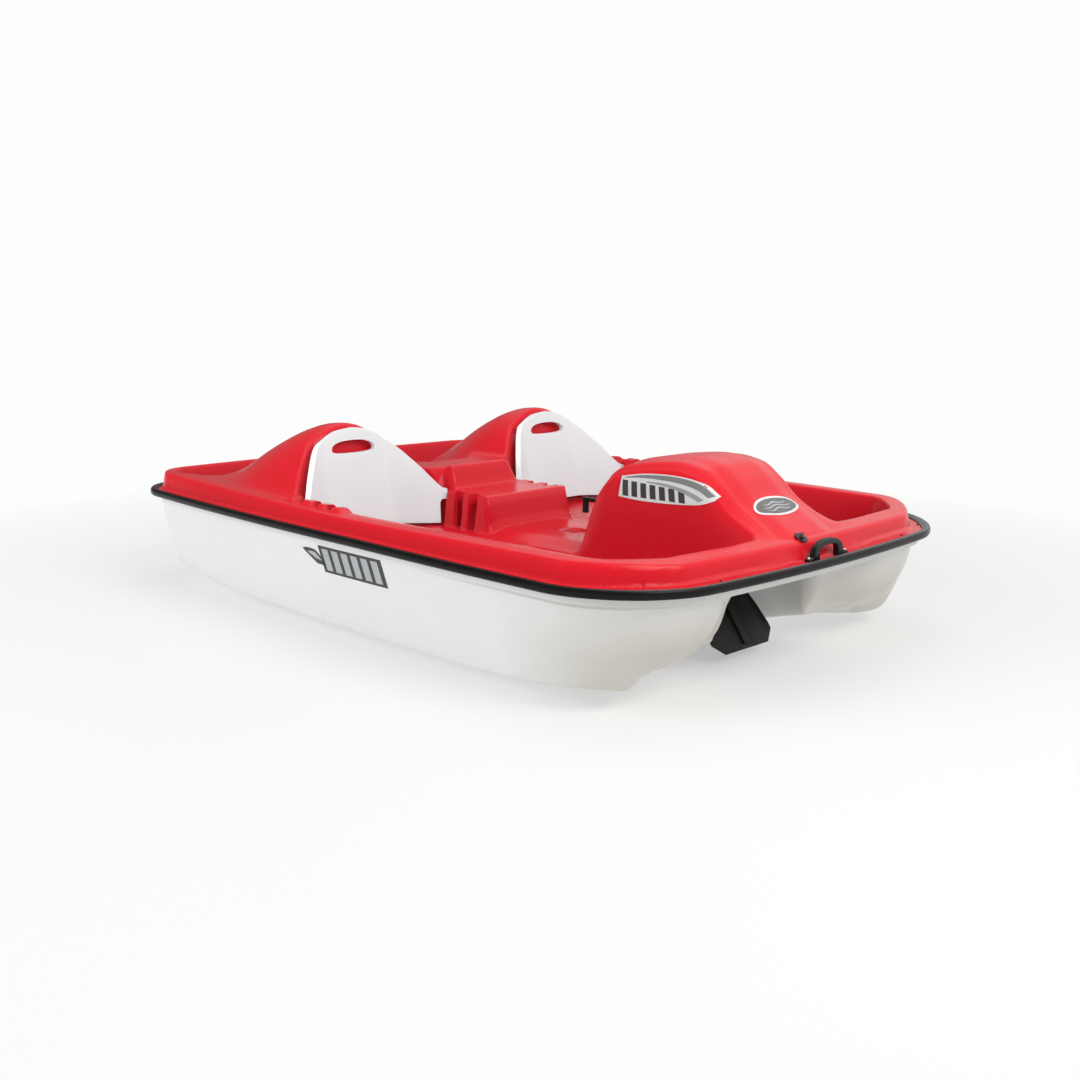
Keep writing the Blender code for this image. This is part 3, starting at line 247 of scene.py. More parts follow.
def curve(table, x):
    """A smooth curve through a short table of (station, value): a monotone cubic."""
    table = np.array(table, float)
    at, value = table[:, 0], table[:, 1]
    gap = np.diff(at)
    rise = np.diff(value) / gap
    before, after = rise[:-1], rise[1:]
    inner = np.where(before * after > 0, 2 * before * after / (before + after + 1e-12), 0)
    slope = np.concatenate([[rise[0]], inner, [rise[-1]]])
    x = np.clip(x, at[0], at[-1])
    k = np.clip(np.searchsorted(at, x) - 1, 0, len(gap) - 1)
    t = (x - at[k]) / gap[k]
    return ((2 * t ** 3 - 3 * t ** 2 + 1) * value[k]
            + (t ** 3 - 2 * t ** 2 + t) * gap[k] * slope[k]
            + (-2 * t ** 3 + 3 * t ** 2) * value[k + 1]
            + (t ** 3 - t ** 2) * gap[k] * slope[k + 1])


# ------------------------------------------------------------------ deck surface
# (x, z) along the top of the wheel hump, from its foot by the seats to the bow
HUMP = [(0.40, 0.278), (0.430, 0.278), (0.448, 0.330), (0.466, 0.405), (0.495, 0.475),
        (0.540, 0.526), (0.605, 0.552), (0.690, 0.566), (0.780, 0.574), (0.860, 0.562),
        (0.915, 0.528), (0.975, 0.475), (1.045, 0.432), (1.092, 0.404), (1.122, 0.384),
        (1.138, 0.362), (1.150, 0.3335)]
# (x, z) along the crest of the fairings behind the seats, from the stern forward
CREST = [(-1.20, 0.26), (-1.08, 0.310), (-1.00, 0.347), (-0.93, 0.383), (-0.83, 0.433),
         (-0.75, 0.475), (-0.67, 0.520), (-0.60, 0.553), (-0.52, 0.584), (-0.45, 0.601),
         (-0.40, 0.605), (-0.33, 0.606)]


def wing(off):
    """How far the seatback's sides come forward of its middle."""
    out = np.maximum(np.abs(off - SEAT_Y) - 0.12, 0.0)
    return 0.85 * out * out / (out + 0.025)


def back_x(off, z):
    """Middle of the seatback's thickness."""
    return -0.338 - BACK_LEAN * (z - 0.5) + wing(off)


def notches(x):
    """Three slots across the console and the cockpit's edge."""
    depth = ease(0.028, 0.020, np.abs(x + 0.205))
    for at in (-0.114, -0.043):
        depth = np.maximum(depth, ease(0.021, 0.015, np.abs(x - at)))
    return depth


def coaming_foot(bow, stern):
    """Inset of the line where the coaming rises from the flange."""
    return 0.038 + 0.020 * bow + 0.060 * bow * (1 - bow) + 0.006 * stern


def deck_z(x, y):
    """Height of the deck's top face. Masks run 0..1; off is the distance from the centreline."""
    off = np.abs(y)
    inset, bow, stern = inset_of(x, y)
    # flange, then the coaming's wall and crown
    foot = coaming_foot(bow, stern)
    flange = Z_DECK_FLANGE + sheer(x)
    aft_x = np.minimum(x, 0.0)
    rim = 0.393 - 0.0185 * aft_x - 0.004 * aft_x ** 2 + 0.004 * ease(0.1, 0.6, x)
    wall = ease(foot, foot + 0.017, inset)
    crown = 0.006 * ease(0.0, 0.05, np.abs(inset - 0.088)) + 0.013 * bow * ease(0.135, 0.080, inset)
    z = flange + (rim - crown - flange) * wall
    # seat pans, leg wells and the centre ledge
    dish = 0.018 * np.clip((off - SEAT_Y) / 0.22, -1, 1) ** 2
    pan = PAN_Z - 0.008 + dish
    drop = ease(0.235, 0.315, x)
    toe = x + 0.080 * ease(0.42, 0.24, off)
    well_z = FOOTWELL_Z + 0.085 * ease(0.86, 1.04, toe) + 0.060 * ease(1.00, 1.10, toe)
    floor = pan * (1 - drop) + well_z * drop
    ledge = LEDGE_Z - 0.018 * ease(0.11, 0.21, off) + 0.060 * ease(0.95, 1.03, x)
    inner = ease(0.252 + 0.090 * ease(0.92, 1.03, x), 0.204 + 0.048 * ease(0.93, 1.03, x), off)
    floor = floor * (1 - inner) + np.maximum(floor, ledge) * inner
    cup = ease(0.040, 0.033, np.hypot(x - CUP_X, y))
    floor = floor - 0.028 * cup
    # console between the seats: a low notched block, and a higher one aft of it
    slot = notches(x)
    half = 0.178 - 0.034 * slot
    low_block = ease(half + 0.020, half, off) * ease(0.046, 0.018, x)
    floor = floor + (0.380 - floor) * low_block
    high_block = ease(0.160, 0.125, off) * ease(-0.172, -0.222, x)
    floor = floor + (0.454 - floor) * high_block
    # outboard edge of the cockpit, with its own slots and a bolster beside the seat
    edge = (0.112 + 0.014 * bow + 0.060 * bow * (1 - bow)
            - 0.038 * slot * ease(0.4, 0.6, off))
    bolster = (0.013 * ease(-0.275, -0.245, x) * ease(0.030, 0.0, x)
               * ease(0.062, 0.085, inset) * (1 - 0.4 * slot) * ease(0.5, 0.6, off))
    z = z + bolster
    well = ease(edge, edge + 0.040, inset)
    cockpit = z + (floor - z) * well
    # wheel hump
    top = (curve(HUMP, x) - 0.010 * ease(0.06, 0.13, off)
           - 0.028 * ease(0.13, 0.175, off) * ease(1.12, 0.95, x))
    sides = ease(0.216, 0.166, off) * ease(0.40, 0.445, x)
    nose = ease(0.30, 0.16, off) * ease(1.055, 1.10, x) * ease(1.20, 1.10, x)
    forward = cockpit + (np.maximum(top, cockpit) - cockpit) * np.maximum(sides, nose)
    # fairings behind the seats, the saddle between them and the basin at the stern
    crest = curve(CREST, x)
    reach = 0.27 * (1.0 - 0.25 * ease(-0.5, -0.95, x))
    side = np.abs(off - SEAT_Y - 0.030 * ease(-0.45, -0.85, x)) / reach
    fairing = 0.26 + (crest - 0.26) * (1 - 0.6 * side ** 1.95)
    lip = -0.40 - 0.9 * np.maximum(off - 0.08, 0.0)
    saddle = np.where(off < 0.30, 0.446 - 0.10 * ease(0.17, 0.30, off), 0.26)
    basin = ease(0.070, 0.125, inset) * ease(lip + 0.02, lip - 0.085, x)
    base = z + (saddle - z) * ease(0.32, 0.24, off)
    base = base + (BASIN_Z - base) * basin
    inboard = ease(0.05, 0.11, inset)
    aft = smooth_max(base, fairing, 0.05) * inboard + z * (1 - inboard)
    aft = np.maximum(aft, BASIN_Z * ease(0.05, 0.10, inset))
    # front of the fairings, just behind the seatbacks
    face = np.clip((x - (-0.395 + wing(off))) / 0.080, 0, 1)
    face = face * face * (3 - 2 * face)
    face = np.maximum(face, ease(-0.245, -0.225, x) * ease(0.17, 0.15, off))
    return aft + (forward - aft) * face


# ------------------------------------------------------------------ hull surface
def hull_z(x, y):
    """Height of the hull's under face."""
    off = np.abs(y)
    inset, bow, _ = inset_of(x, y)
    # outer skin: lip under the rail, drafted wall, then the bilge
    start = 0.0335
    flange = Z_HULL_FLANGE + sheer(x)
    lip = flange - 0.034 * ease(start, start + 0.0035, inset)
    start = start + 0.0065 + 0.004 * bow
    wall = (flange - 0.036) - (inset - start) * (0.30 / 0.050)
    # round bulb at the bow, fuller toward the tunnel
    inward = ((0.080 * ease(0.42, 0.215, off) ** 1.5 + 0.030 * ease(0.60, 0.215, off))
              * ease(0.2, 0.8, bow) * ease(0.33, 0.17, inset))
    round_ = np.clip((0.345 - (inset - inward - 0.055)) / 0.345, 0, 1)
    bulb = (flange - 0.005) * (1 - np.sqrt(np.maximum(1 - round_ * round_, 0)))
    bulb = np.minimum(bulb, flange - 0.036)
    nose = bow * (2 - bow)
    wall = wall * (1 - nose) + np.minimum(wall + 0.9 * nose, bulb) * nose
    # pontoon bottoms: two grooves each between three lobes, and rocker at both ends
    rocker = (0.032 * np.maximum((-x - 0.50) / 0.44, 0) ** 2
              + 0.028 * np.maximum((x - 0.45) / 0.45, 0) ** 2)
    rocker = rocker + 0.060 * ease(0.60, 0.22, off) ** 0.8 * ease(0.55, 1.0, x)
    grooves = np.maximum(ease(0.030, 0.0, np.abs(off - 0.360)),
                         ease(0.030, 0.0, np.abs(off - 0.505)))
    bottom = (rocker + 0.013 * grooves * (0.35 + 0.65 * ease(-0.6, 0.7, x))
              + 0.045 * ease(0.50, 0.76, off))
    skin = smooth_max(wall, bottom, 0.078)
    # tunnel between the pontoons, with the dome over the wheel
    roof = TUNNEL_ROOF_Z + 0.088 * ease(0.95, 1.08, x)
    reach = DOME_R - 0.030 * ease(0.09, 0.15, off)
    dome = WHEEL_Z + np.sqrt(np.maximum(reach ** 2 - (x - WHEEL_X) ** 2, 0))
    roof = np.maximum(roof, np.where(np.abs(x - WHEEL_X) < reach, dome, 0))
    flare = 0.24 * ease(0.97, 1.20, x) ** 1.3
    gate = ease(0.226 + flare, 0.152 + flare * 0.9, off)
    inside = skin + (np.maximum(roof, skin) - skin) * gate
    return np.where(inset < 0.0405, lip, np.where(inset < 0.07, np.minimum(inside, lip), inside))


# ------------------------------------------------------------------ node building
BLACK, WHITE = (0.0, 0.0, 0.0), (1.0, 1.0, 1.0)


class Nodes:
    """Builds a node tree. Values may be numbers, colours or the outputs of other nodes."""

    def __init__(self, owner, kind, space):
        owner.use_nodes = True
        self.tree = owner.node_tree
        self.tree.nodes.clear()
        self.surface = self.add(f"ShaderNodeOutput{kind}").inputs["Surface"]
        self.place = self.add("ShaderNodeTexCoord").outputs[space]

    def add(self, kind, **settings):
        node = self.tree.nodes.new(kind)
        for key, value in settings.items():
            setattr(node, key, value)
        return node

    def put(self, value, socket):
        if hasattr(value, "is_output"):
            self.tree.links.new(value, socket)
        else:
            socket.default_value = (*value, 1.0) if socket.type == "RGBA" else value

    def scaled(self, scale, turn):
        node = self.add("ShaderNodeMapping")
        self.put(self.place, node.inputs["Vector"])
        self.put(scale, node.inputs["Scale"])
        self.put(turn, node.inputs["Rotation"])
        return node.outputs["Vector"]

    def noise(self, scale, detail=2.0, rough=0.5, vector=None):
        node = self.add("ShaderNodeTexNoise")
        self.put(vector or self.place, node.inputs["Vector"])
        self.put(scale, node.inputs["Scale"])
        self.put(detail, node.inputs["Detail"])
        self.put(rough, node.inputs["Roughness"])
        return node.outputs["Fac"]

    def drift(self, to=(0.0, 1.0), **noise):
        """Noise, with its middle range 0.3..0.7 spread over the range to."""
        return self.span(self.noise(**noise), (0.3, 0.7), to)

    def spots(self, start, full, **noise):
        """The peaks of a noise: 0 up to start, rising to 1 at full."""
        return self.ramp(self.noise(**noise), (0.0, BLACK), (start, BLACK), (full, WHITE))

    def cells(self, scale, feature="F1"):
        node = self.add("ShaderNodeTexVoronoi", feature=feature)
        self.put(self.place, node.inputs["Vector"])
        self.put(scale, node.inputs["Scale"])
        return node.outputs["Distance"]

    def ramp(self, value, *stops):
        """Stops are (position, colour)."""
        node = self.add("ShaderNodeValToRGB")
        self.put(value, node.inputs["Fac"])
        elements = node.color_ramp.elements
        while len(elements) < len(stops):
            elements.new(0.5)
        for element, (position, colour) in zip(elements, stops):
            element.position = position
            element.color = (*colour, 1.0)
        return node.outputs["Color"]

    def span(self, value, source, to=(0.0, 1.0)):
        """The range source mapped onto the range to."""
        node = self.add("ShaderNodeMapRange")
        self.put(value, node.inputs["Value"])
        for key, number in zip(("From Min", "From Max", "To Min", "To Max"), (*source, *to)):
            self.put(number, node.inputs[key])
        return node.outputs["Result"]

    def mix(self, amount, first, second):
        node = self.add("ShaderNodeMix", data_type="RGBA")
        self.put(amount, node.inputs["Factor"])
        self.put(first, node.inputs[6])
        self.put(second, node.inputs[7])
        return node.outputs[2]

    def blend(self, amount, first, second):
        """Mix of two shaders."""
        node = self.add("ShaderNodeMixShader")
        for socket, value in zip(node.inputs, (amount, first, second)):
            self.put(value, socket)
        return node.outputs["Shader"]

    def maths(self, operation, first, second):
        node = self.add("ShaderNodeMath", operation=operation)
        for socket, value in zip(node.inputs, (first, second, 0.0)):
            self.put(value, socket)
        return node.outputs["Value"]

    def times(self, first, second):
        return self.maths("MULTIPLY", first, second)

    def plus(self, first, second):
        return self.maths("ADD", first, second)

    def bump(self, height, distance, strength, below=None):
        """distance is in metres."""
        node = self.add("ShaderNodeBump")
        self.put(strength, node.inputs["Strength"])
        self.put(distance, node.inputs["Distance"])
        self.put(height, node.inputs["Height"])
        if below is not None:
            self.put(below, node.inputs["Normal"])
        return node.outputs["Normal"]

    def axis(self, letter, vector=None):
        node = self.add("ShaderNodeSeparateXYZ")
        self.put(vector or self.place, node.inputs["Vector"])
        return node.outputs[letter]


class Shader(Nodes):
    """A material around one Principled shader. Patterns are in metres of the boat's frame."""

    SOCKETS = {"colour": "Base Color", "rough": "Roughness", "normal": "Normal",
               "metal": "Metallic", "spec": "Specular IOR Level",
               "scatter": "Subsurface Weight", "reach": "Subsurface Radius",
               "scatter_scale": "Subsurface Scale",
               "glow_colour": "Emission Color", "glow": "Emission Strength"}

    def __init__(self, name):
        self.material = bpy.data.materials.new(name)
        super().__init__(self.material, "Material", "Object")
        self.principled = self.add("ShaderNodeBsdfPrincipled")
        self.put(self.principled.outputs["BSDF"], self.surface)

    def set(self, **values):
        for key, value in values.items():
            self.put(value, self.principled.inputs[self.SOCKETS[key]])
        return self.material


def toned(colour, factor, lift=0.0):
    return tuple(min(1.0, v * factor + lift) for v in colour)


# ------------------------------------------------------------------ materials
def moulded(name, colour, drifted, rough, grain=0.00010, grain_scale=900.0, edge=None, spec=0.5,
            scratches=0.35, bounce=None, painted_bow_shade=None, glow=0.0):
    """Moulded plastic sheet: slight colour drift, fine orange peel and faint handling marks.
    edge paints a highlight on sharp edges, bounce is the colour diffuse rays see, glow is painted
    light."""
    mat = Shader(name)
    tint = mat.mix(mat.drift(scale=2.2, detail=3.0, rough=0.55), colour, drifted)
    mottled = mat.noise(scale=38.0, detail=5.0, rough=0.65)
    tint = mat.mix(mat.span(mottled, (0.35, 0.75), (0.0, 0.10)), tint, toned(colour, 1.22, 0.01))
    marks = mat.spots(0.62, 0.70, scale=9.0, detail=8.0, rough=0.72,
                      vector=mat.scaled(scale=(3.0, 26.0, 26.0), turn=(0.3, 0.2, 0.5)))
    tint = mat.mix(mat.times(marks, scratches * 0.10), tint, toned(colour, 1.35, 0.03))
    # painted highlight: sharp edges and creases are lightened toward the edge colour
    if edge is not None:
        edge_highlight_mask = mat.add("ShaderNodeNewGeometry").outputs["Pointiness"]
        tint = mat.mix(mat.span(edge_highlight_mask, (0.52, 0.60), (0.0, 0.35)), tint, edge)
    roughness = mat.plus(mat.drift(to=rough, scale=17.0, detail=6.0, rough=0.62),
                         mat.times(marks, 0.10 * scratches))
    peel = mat.noise(scale=grain_scale)
    wave = mat.noise(scale=11.0, rough=0.4)
    normal = mat.bump(wave, distance=0.0005, strength=0.30)
    normal = mat.bump(peel, distance=grain, strength=0.8, below=normal)
    normal = mat.bump(marks, distance=0.00006, strength=0.5, below=normal)
    if painted_bow_shade is not None:
        # a soft painted shade toward the bow, stronger low down, and a painted shadow line under
        # the lip below the rail
        nose = mat.times(mat.span(mat.axis("X"), (0.68, 1.10)),
                         mat.span(mat.axis("Z"), (0.31, 0.15), (0.25, 1.0)))
        tint = mat.mix(nose, tint, painted_bow_shade)
        line = mat.times(mat.span(mat.axis("X"), (0.35, 0.80), (0.0, 0.55)),
                         mat.ramp(mat.plus(mat.axis("Z"), mat.times(mat.axis("X"), 0.010)),
                                  (0.2935, BLACK), (0.2965, WHITE),
                                  (0.3000, WHITE), (0.3025, BLACK)))
        tint = mat.mix(line, tint, (0.36, 0.34, 0.31))
    if bounce is not None:
        tint = mat.mix(mat.add("ShaderNodeLightPath").outputs["Is Diffuse Ray"], tint, bounce)
    return mat.set(colour=tint, rough=roughness, normal=normal, spec=spec,
                   glow_colour=WHITE, glow=glow)


def vinyl():
    """Black rail vinyl, scuffed, with its up-facing top made paler toward the bow."""
    mat = Shader("rail_vinyl")
    tint = mat.mix(mat.drift(scale=5.0, detail=4.0, rough=0.6),
                   (0.005, 0.0047, 0.0047), (0.009, 0.0085, 0.0083))
    scuff = mat.spots(0.60, 0.74, scale=60.0, detail=7.0, rough=0.7)
    tint = mat.mix(mat.times(scuff, 0.20), tint, (0.06, 0.058, 0.056))
    # up-facing faces of the rail are made paler toward the bow
    upward = mat.axis("Z", mat.add("ShaderNodeNewGeometry").outputs["Normal"])
    pale_top = mat.times(mat.span(upward, (0.80, 0.97)), mat.span(mat.axis("X"), (0.95, 1.12)))
    tint = mat.mix(mat.times(pale_top, 0.55), tint, (0.150, 0.150, 0.153))
    roughness = mat.plus(mat.drift(to=(0.24, 0.34), scale=26.0, detail=5.0, rough=0.6),
                         mat.times(scuff, 0.14))
    normal = mat.bump(mat.noise(scale=14.0, rough=0.4), distance=0.0006, strength=0.6)
    normal = mat.bump(mat.noise(scale=1100.0), distance=0.00005, strength=0.6, below=normal)
    return mat.set(colour=tint, rough=roughness, normal=normal, spec=0.14)


def moulded_black(name, base=0.006, rough=(0.34, 0.48), brown=0.0, grain=0.00012, spec=0.28):
    """Black plastic with a cell grain. brown warms it."""
    mat = Shader(name)
    dark = (base * (1 + brown), base, base * (1 - brown))
    light = toned(dark, 1.7, 0.002)
    tint = mat.mix(mat.span(mat.noise(scale=30.0, detail=5.0, rough=0.6), (0.3, 0.75)), dark, light)
    worn = mat.spots(0.62, 0.76, scale=120.0, detail=6.0, rough=0.7)
    tint = mat.mix(mat.times(worn, 0.2), tint, toned(light, 3.0))
    roughness = mat.drift(to=rough, scale=50.0, detail=5.0, rough=0.6)
    normal = mat.bump(mat.cells(scale=900.0), distance=grain, strength=0.5)
    normal = mat.bump(mat.noise(scale=25.0, detail=3.0), distance=0.0003, strength=0.5,
                      below=normal)
    return mat.set(colour=tint, rough=roughness, normal=normal, spec=spec)


def plated_steel():
    mat = Shader("zinc_plated_steel")
    tint = mat.mix(mat.drift(scale=70.0, detail=5.0, rough=0.65),
                   (0.50, 0.505, 0.52), (0.66, 0.665, 0.67))
    tarnish = mat.spots(0.58, 0.78, scale=16.0, detail=7.0, rough=0.7)
    tint = mat.mix(mat.times(tarnish, 0.35), tint, (0.38, 0.34, 0.28))
    drawn = mat.noise(scale=60.0, detail=4.0, rough=0.6,
                      vector=mat.scaled(scale=(1.0, 40.0, 12.0), turn=(0, 0, 0)))
    roughness = mat.plus(mat.span(drawn, (0.3, 0.7), (0.24, 0.38)), mat.times(tarnish, 0.15))
    normal = mat.bump(drawn, distance=0.00005, strength=0.6)
    normal = mat.bump(mat.noise(scale=420.0, detail=3.0, rough=0.6),
                      distance=0.00004, strength=0.6, below=normal)
    return mat.set(colour=tint, rough=roughness, metal=1.0, normal=normal)


def nylon():
    mat = Shader("natural_nylon")
    tint = mat.mix(mat.drift(scale=40.0, detail=4.0, rough=0.6),
                   (0.70, 0.68, 0.60), (0.62, 0.60, 0.52))
    normal = mat.bump(mat.noise(scale=700.0, detail=3.0, rough=0.6),
                      distance=0.00006, strength=0.6)
    return mat.set(colour=tint, rough=mat.drift(to=(0.36, 0.5), scale=90.0, detail=3.0),
                   normal=normal, scatter=0.15, reach=(0.004, 0.003, 0.002), scatter_scale=1.0)


def bead_foam():
    mat = Shader("bead_foam")
    beads = mat.cells(scale=240.0)
    seams = mat.cells(scale=240.0, feature="DISTANCE_TO_EDGE")
    tint = mat.mix(mat.span(beads, (0.0, 0.6)), (0.90, 0.90, 0.89), (0.80, 0.80, 0.785))
    normal = mat.bump(mat.span(seams, (0.0, 0.12)), distance=0.0006, strength=0.8)
    return mat.set(colour=tint, rough=0.85, normal=normal)


# keyed by material slot; grip has no slot of its own
MATS = {
    # the edge colour is a painted highlight on sharp edges
    "deck_red": moulded("red_polyethylene", (0.770, 0.011, 0.024), (0.715, 0.009, 0.020),
                        rough=(0.20, 0.28), edge=(0.81, 0.045, 0.070), spec=0.20,
                        bounce=(0.24, 0.060, 0.062)),
    # painted highlight on sharp edges, painted shade toward the bow and a painted shadow line under
    # the rail
    "hull_white": moulded("white_polyethylene", (0.800, 0.812, 0.812), (0.780, 0.795, 0.800),
                          rough=(0.28, 0.38), scratches=0.5, edge=(0.83, 0.835, 0.83),
                          painted_bow_shade=(0.530, 0.495, 0.440)),
    # the thin seat panels glow a little: painted light that brightens them
    "seat_white": moulded("seat_polyethylene", (0.885, 0.912, 0.935), (0.870, 0.898, 0.925),
                          rough=(0.40, 0.50), grain=0.00016, grain_scale=620.0, scratches=0.3,
                          glow=0.08),
    "rail_black": vinyl(),
    "fitting_black": moulded_black("fitting_nylon_black"),
    "blade_black": moulded_black("blade_polyethylene_black", base=0.0035, rough=(0.42, 0.58),
                                 brown=0.18, grain=0.00018, spec=0.22),
    "grip": moulded_black("grip_rubber_black", base=0.013, rough=(0.5, 0.65), brown=0.05,
                          grain=0.0003),
    "steel": plated_steel(),
    "nylon": nylon(),
    "foam": bead_foam(),
}


# ------------------------------------------------------------------ objects
def add_object(name, data):
    obj = bpy.data.objects.new(name, data)
    bpy.context.scene.collection.objects.link(obj)
    return obj


def paint(obj, material):
    materials = obj.data.materials
    if materials:
        for k in range(len(materials)):
            materials[k] = material
    else:
        materials.append(material)


slot_of = {part["node"]: part["material_slot"] for part in frame["record"]["subparts"]}
for node, obj in frame["nodes"].items():
    paint(obj, MATS[slot_of[node]])


def show(name, mesh, body, material, smooth):
    """A visible object riding on a body, shaded smooth up to the angle smooth."""
    obj = add_object(name, mesh)
    mesh.name = name
    paint(obj, material)
    mesh.shade_smooth()
    mesh.set_sharp_from_angle(angle=math.radians(smooth))
    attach(obj, body)
    return obj


def piece(name, mesh, body, slot, node, smooth, material=None):
    """An object that stands in for the CAD piece node."""
    obj = show(name, mesh, body, material or MATS[slot], smooth)
    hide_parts(node)


# ------------------------------------------------------------------ mesh tools
def mesh_of(points, faces):
    mesh = bpy.data.meshes.new("mesh")
    mesh.from_pydata([tuple(map(float, p)) for p in points], [],
                     [tuple(map(int, f)) for f in faces])
    return mesh


def mesh_from(bm):
    mesh = bpy.data.meshes.new("mesh")
    bm.to_mesh(mesh)
    bm.free()
    return mesh


def closed(points, faces, weld=None):
    """A mesh with its normals turned outward, and points nearer than weld joined."""
    mesh = mesh_of(points, faces)
    bm = bmesh.new()
    bm.from_mesh(mesh)
    if weld:
        bmesh.ops.remove_doubles(bm, verts=bm.verts, dist=weld)
    bmesh.ops.recalc_face_normals(bm, faces=bm.faces)
    bm.to_mesh(mesh)
    bm.free()
    return mesh


def bake(obj):
    bpy.context.view_layer.update()
    graph = bpy.context.evaluated_depsgraph_get()
    mesh = bpy.data.meshes.new_from_object(obj.evaluated_get(graph))
    obj.modifiers.clear()
    obj.data = mesh


def taken(obj):
    """The mesh of a working object, which is removed."""
    mesh = obj.data
    bpy.data.objects.remove(obj, do_unlink=True)
    return mesh


def boolean(operation, mesh, others):
    base = add_object("work_base", mesh)
    for other_mesh in others:
        other = add_object("work_other", other_mesh)
        modifier = base.modifiers.new("boolean", "BOOLEAN")
        modifier.object, modifier.operation, modifier.solver = other, operation, "MANIFOLD"
        bake(base)
        taken(other)
    return taken(base)


def union(mesh, *others):
    return boolean("UNION", mesh, others)


def cut(mesh, *cutters):
    return boolean("DIFFERENCE", mesh, cutters)


def ease_edges(obj, width, segments, angle):
    """Round the edges sharper than angle, as modifiers."""
    obj.modifiers.new("weld", "WELD").merge_threshold = 1e-5
    bevel = obj.modifiers.new("ease", "BEVEL")
    bevel.width, bevel.segments = width, segments
    bevel.limit_method, bevel.angle_limit = "ANGLE", math.radians(angle)


def rounded(mesh, width, segments, angle):
    obj = add_object("work_rounding", mesh)
    ease_edges(obj, width, segments, angle)
    bake(obj)
    return taken(obj)


def turn_to(axis):
    return Vector(UP).rotation_difference(Vector(axis)).to_matrix().to_4x4()


def rod(centre, axis, radius, length, segments, chamfer=0.0, steps=2):
    bm = bmesh.new()
    bmesh.ops.create_cone(bm, cap_ends=True, segments=segments, radius1=radius, radius2=radius,
                          depth=length)
    if chamfer:
        rim = [e for e in bm.edges if abs(e.verts[0].co.z - e.verts[1].co.z) < 1e-6]
        bmesh.ops.bevel(bm, geom=rim, offset=chamfer, segments=steps, profile=0.6,
                        affect="EDGES")
    bmesh.ops.transform(bm, matrix=Matrix.Translation(centre) @ turn_to(axis), verts=bm.verts)
    return mesh_from(bm)


def brick(low, high, bevel, segments):
    low, high = Vector(low), Vector(high)
    bm = bmesh.new()
    bmesh.ops.create_cube(bm, size=1.0)
    bmesh.ops.scale(bm, vec=high - low, verts=bm.verts)
    bmesh.ops.bevel(bm, geom=list(bm.edges), offset=bevel, segments=segments, profile=0.6,
                    affect="EDGES")
    bmesh.ops.transform(bm, matrix=Matrix.Translation((low + high) / 2), verts=bm.verts)
    return mesh_from(bm)


def lathe(profile, centre, axis, steps, close=False):
    """A turned mesh from (radius, height) pairs. close joins the last pair to the first."""
    bm = bmesh.new()
    rows = []
    turns = [2 * math.pi * k / steps for k in range(steps)]
    for radius, height in profile:
        if radius < 1e-7:
            rows.append([bm.verts.new((0, 0, height))])
        else:
            rows.append([bm.verts.new((radius * math.cos(a), radius * math.sin(a), height))
                         for a in turns])
    for i in range(len(rows) if close else len(rows) - 1):
        here, after = rows[i], rows[(i + 1) % len(rows)]
        for k in range(steps):
            j = (k + 1) % steps
            if len(here) == 1:
                bm.faces.new((here[0], after[j], after[k]))
            elif len(after) == 1:
                bm.faces.new((here[k], here[j], after[0]))
            else:
                bm.faces.new((here[k], here[j], after[j], after[k]))
    bmesh.ops.recalc_face_normals(bm, faces=bm.faces)
    bmesh.ops.transform(bm, matrix=Matrix.Translation(centre) @ turn_to(axis), verts=bm.verts)
    return mesh_from(bm)


def slab(outline, low, high):
    """A flat outline (x, y) made solid from z = low to high."""
    count = len(outline)
    points = [(x, y, z) for z in (low, high) for x, y in outline]
    faces = [(i, (i + 1) % count, count + (i + 1) % count, count + i) for i in range(count)]
    faces += [tuple(range(count))[::-1], tuple(range(count, 2 * count))]
    return closed(points, faces)


# stands a slab up across the boat: its outline's x, y become y, z, and its thickness x
STANDING = Matrix(((0, 0, 1, 0), (1, 0, 0, 0), (0, 1, 0, 0), (0, 0, 0, 1)))


def piped(path, radius, sides):
    """A tube along a path. radius may be a pair: the half widths of a soft rectangle."""
    path = [Vector(p) for p in path]
    count = len(path)
    squareness = 0.45
    across = None
    points = []
    for i, point in enumerate(path):
        ahead = (path[min(i + 1, count - 1)] - path[max(i - 1, 0)]).normalized()
        if across is None:
            across = ahead.cross(Vector(UP if abs(ahead.z) < 0.9 else (1, 0, 0))).normalized()
        across = (across - ahead * across.dot(ahead)).normalized()
        other = ahead.cross(across)
        for k in range(sides):
            angle = 2 * math.pi * k / sides
            cos, sin = math.cos(angle), math.sin(angle)
            if isinstance(radius, tuple):
                wide = radius[0] * math.copysign(abs(cos) ** squareness, cos)
                high = radius[1] * math.copysign(abs(sin) ** squareness, sin)
            else:
                wide, high = radius * cos, radius * sin
            points.append(point + across * wide + other * high)
    faces = []
    for i in range(count - 1):
        for k in range(sides):
            j = (k + 1) % sides
            faces.append((i * sides + k, i * sides + j, (i + 1) * sides + j, (i + 1) * sides + k))
    faces.append(tuple(range(sides))[::-1])
    faces.append(tuple(range((count - 1) * sides, count * sides)))
    return closed(points, faces)


def bends(points, radius, steps):
    """A polyline with its corners rounded."""
    path = [Vector(p) for p in points]
    out = [path[0]]
    for before, corner, after in zip(path, path[1:], path[2:]):
        back, ahead = before - corner, after - corner
        reach = min(radius, back.length * 0.49, ahead.length * 0.49)
        start = corner + back.normalized() * reach
        end = corner + ahead.normalized() * reach
        for k in range(steps + 1):
            part = k / steps
            out.append(start.lerp(corner, part).lerp(corner.lerp(end, part), part))
    out.append(path[-1])
    return out


# ------------------------------------------------------------------ deck and hull skins
def unit(x, y, z):
    vectors = np.stack([x, y, z], 1)
    return vectors / np.linalg.norm(vectors, axis=1)[:, None]


def surface_normals(height, x, y, step):
    slope_x = (height(x + step, y) - height(x - step, y)) / (2 * step)
    slope_y = (height(x, y + step) - height(x, y - step)) / (2 * step)
    return unit(-slope_x, -slope_y, np.ones_like(slope_x))


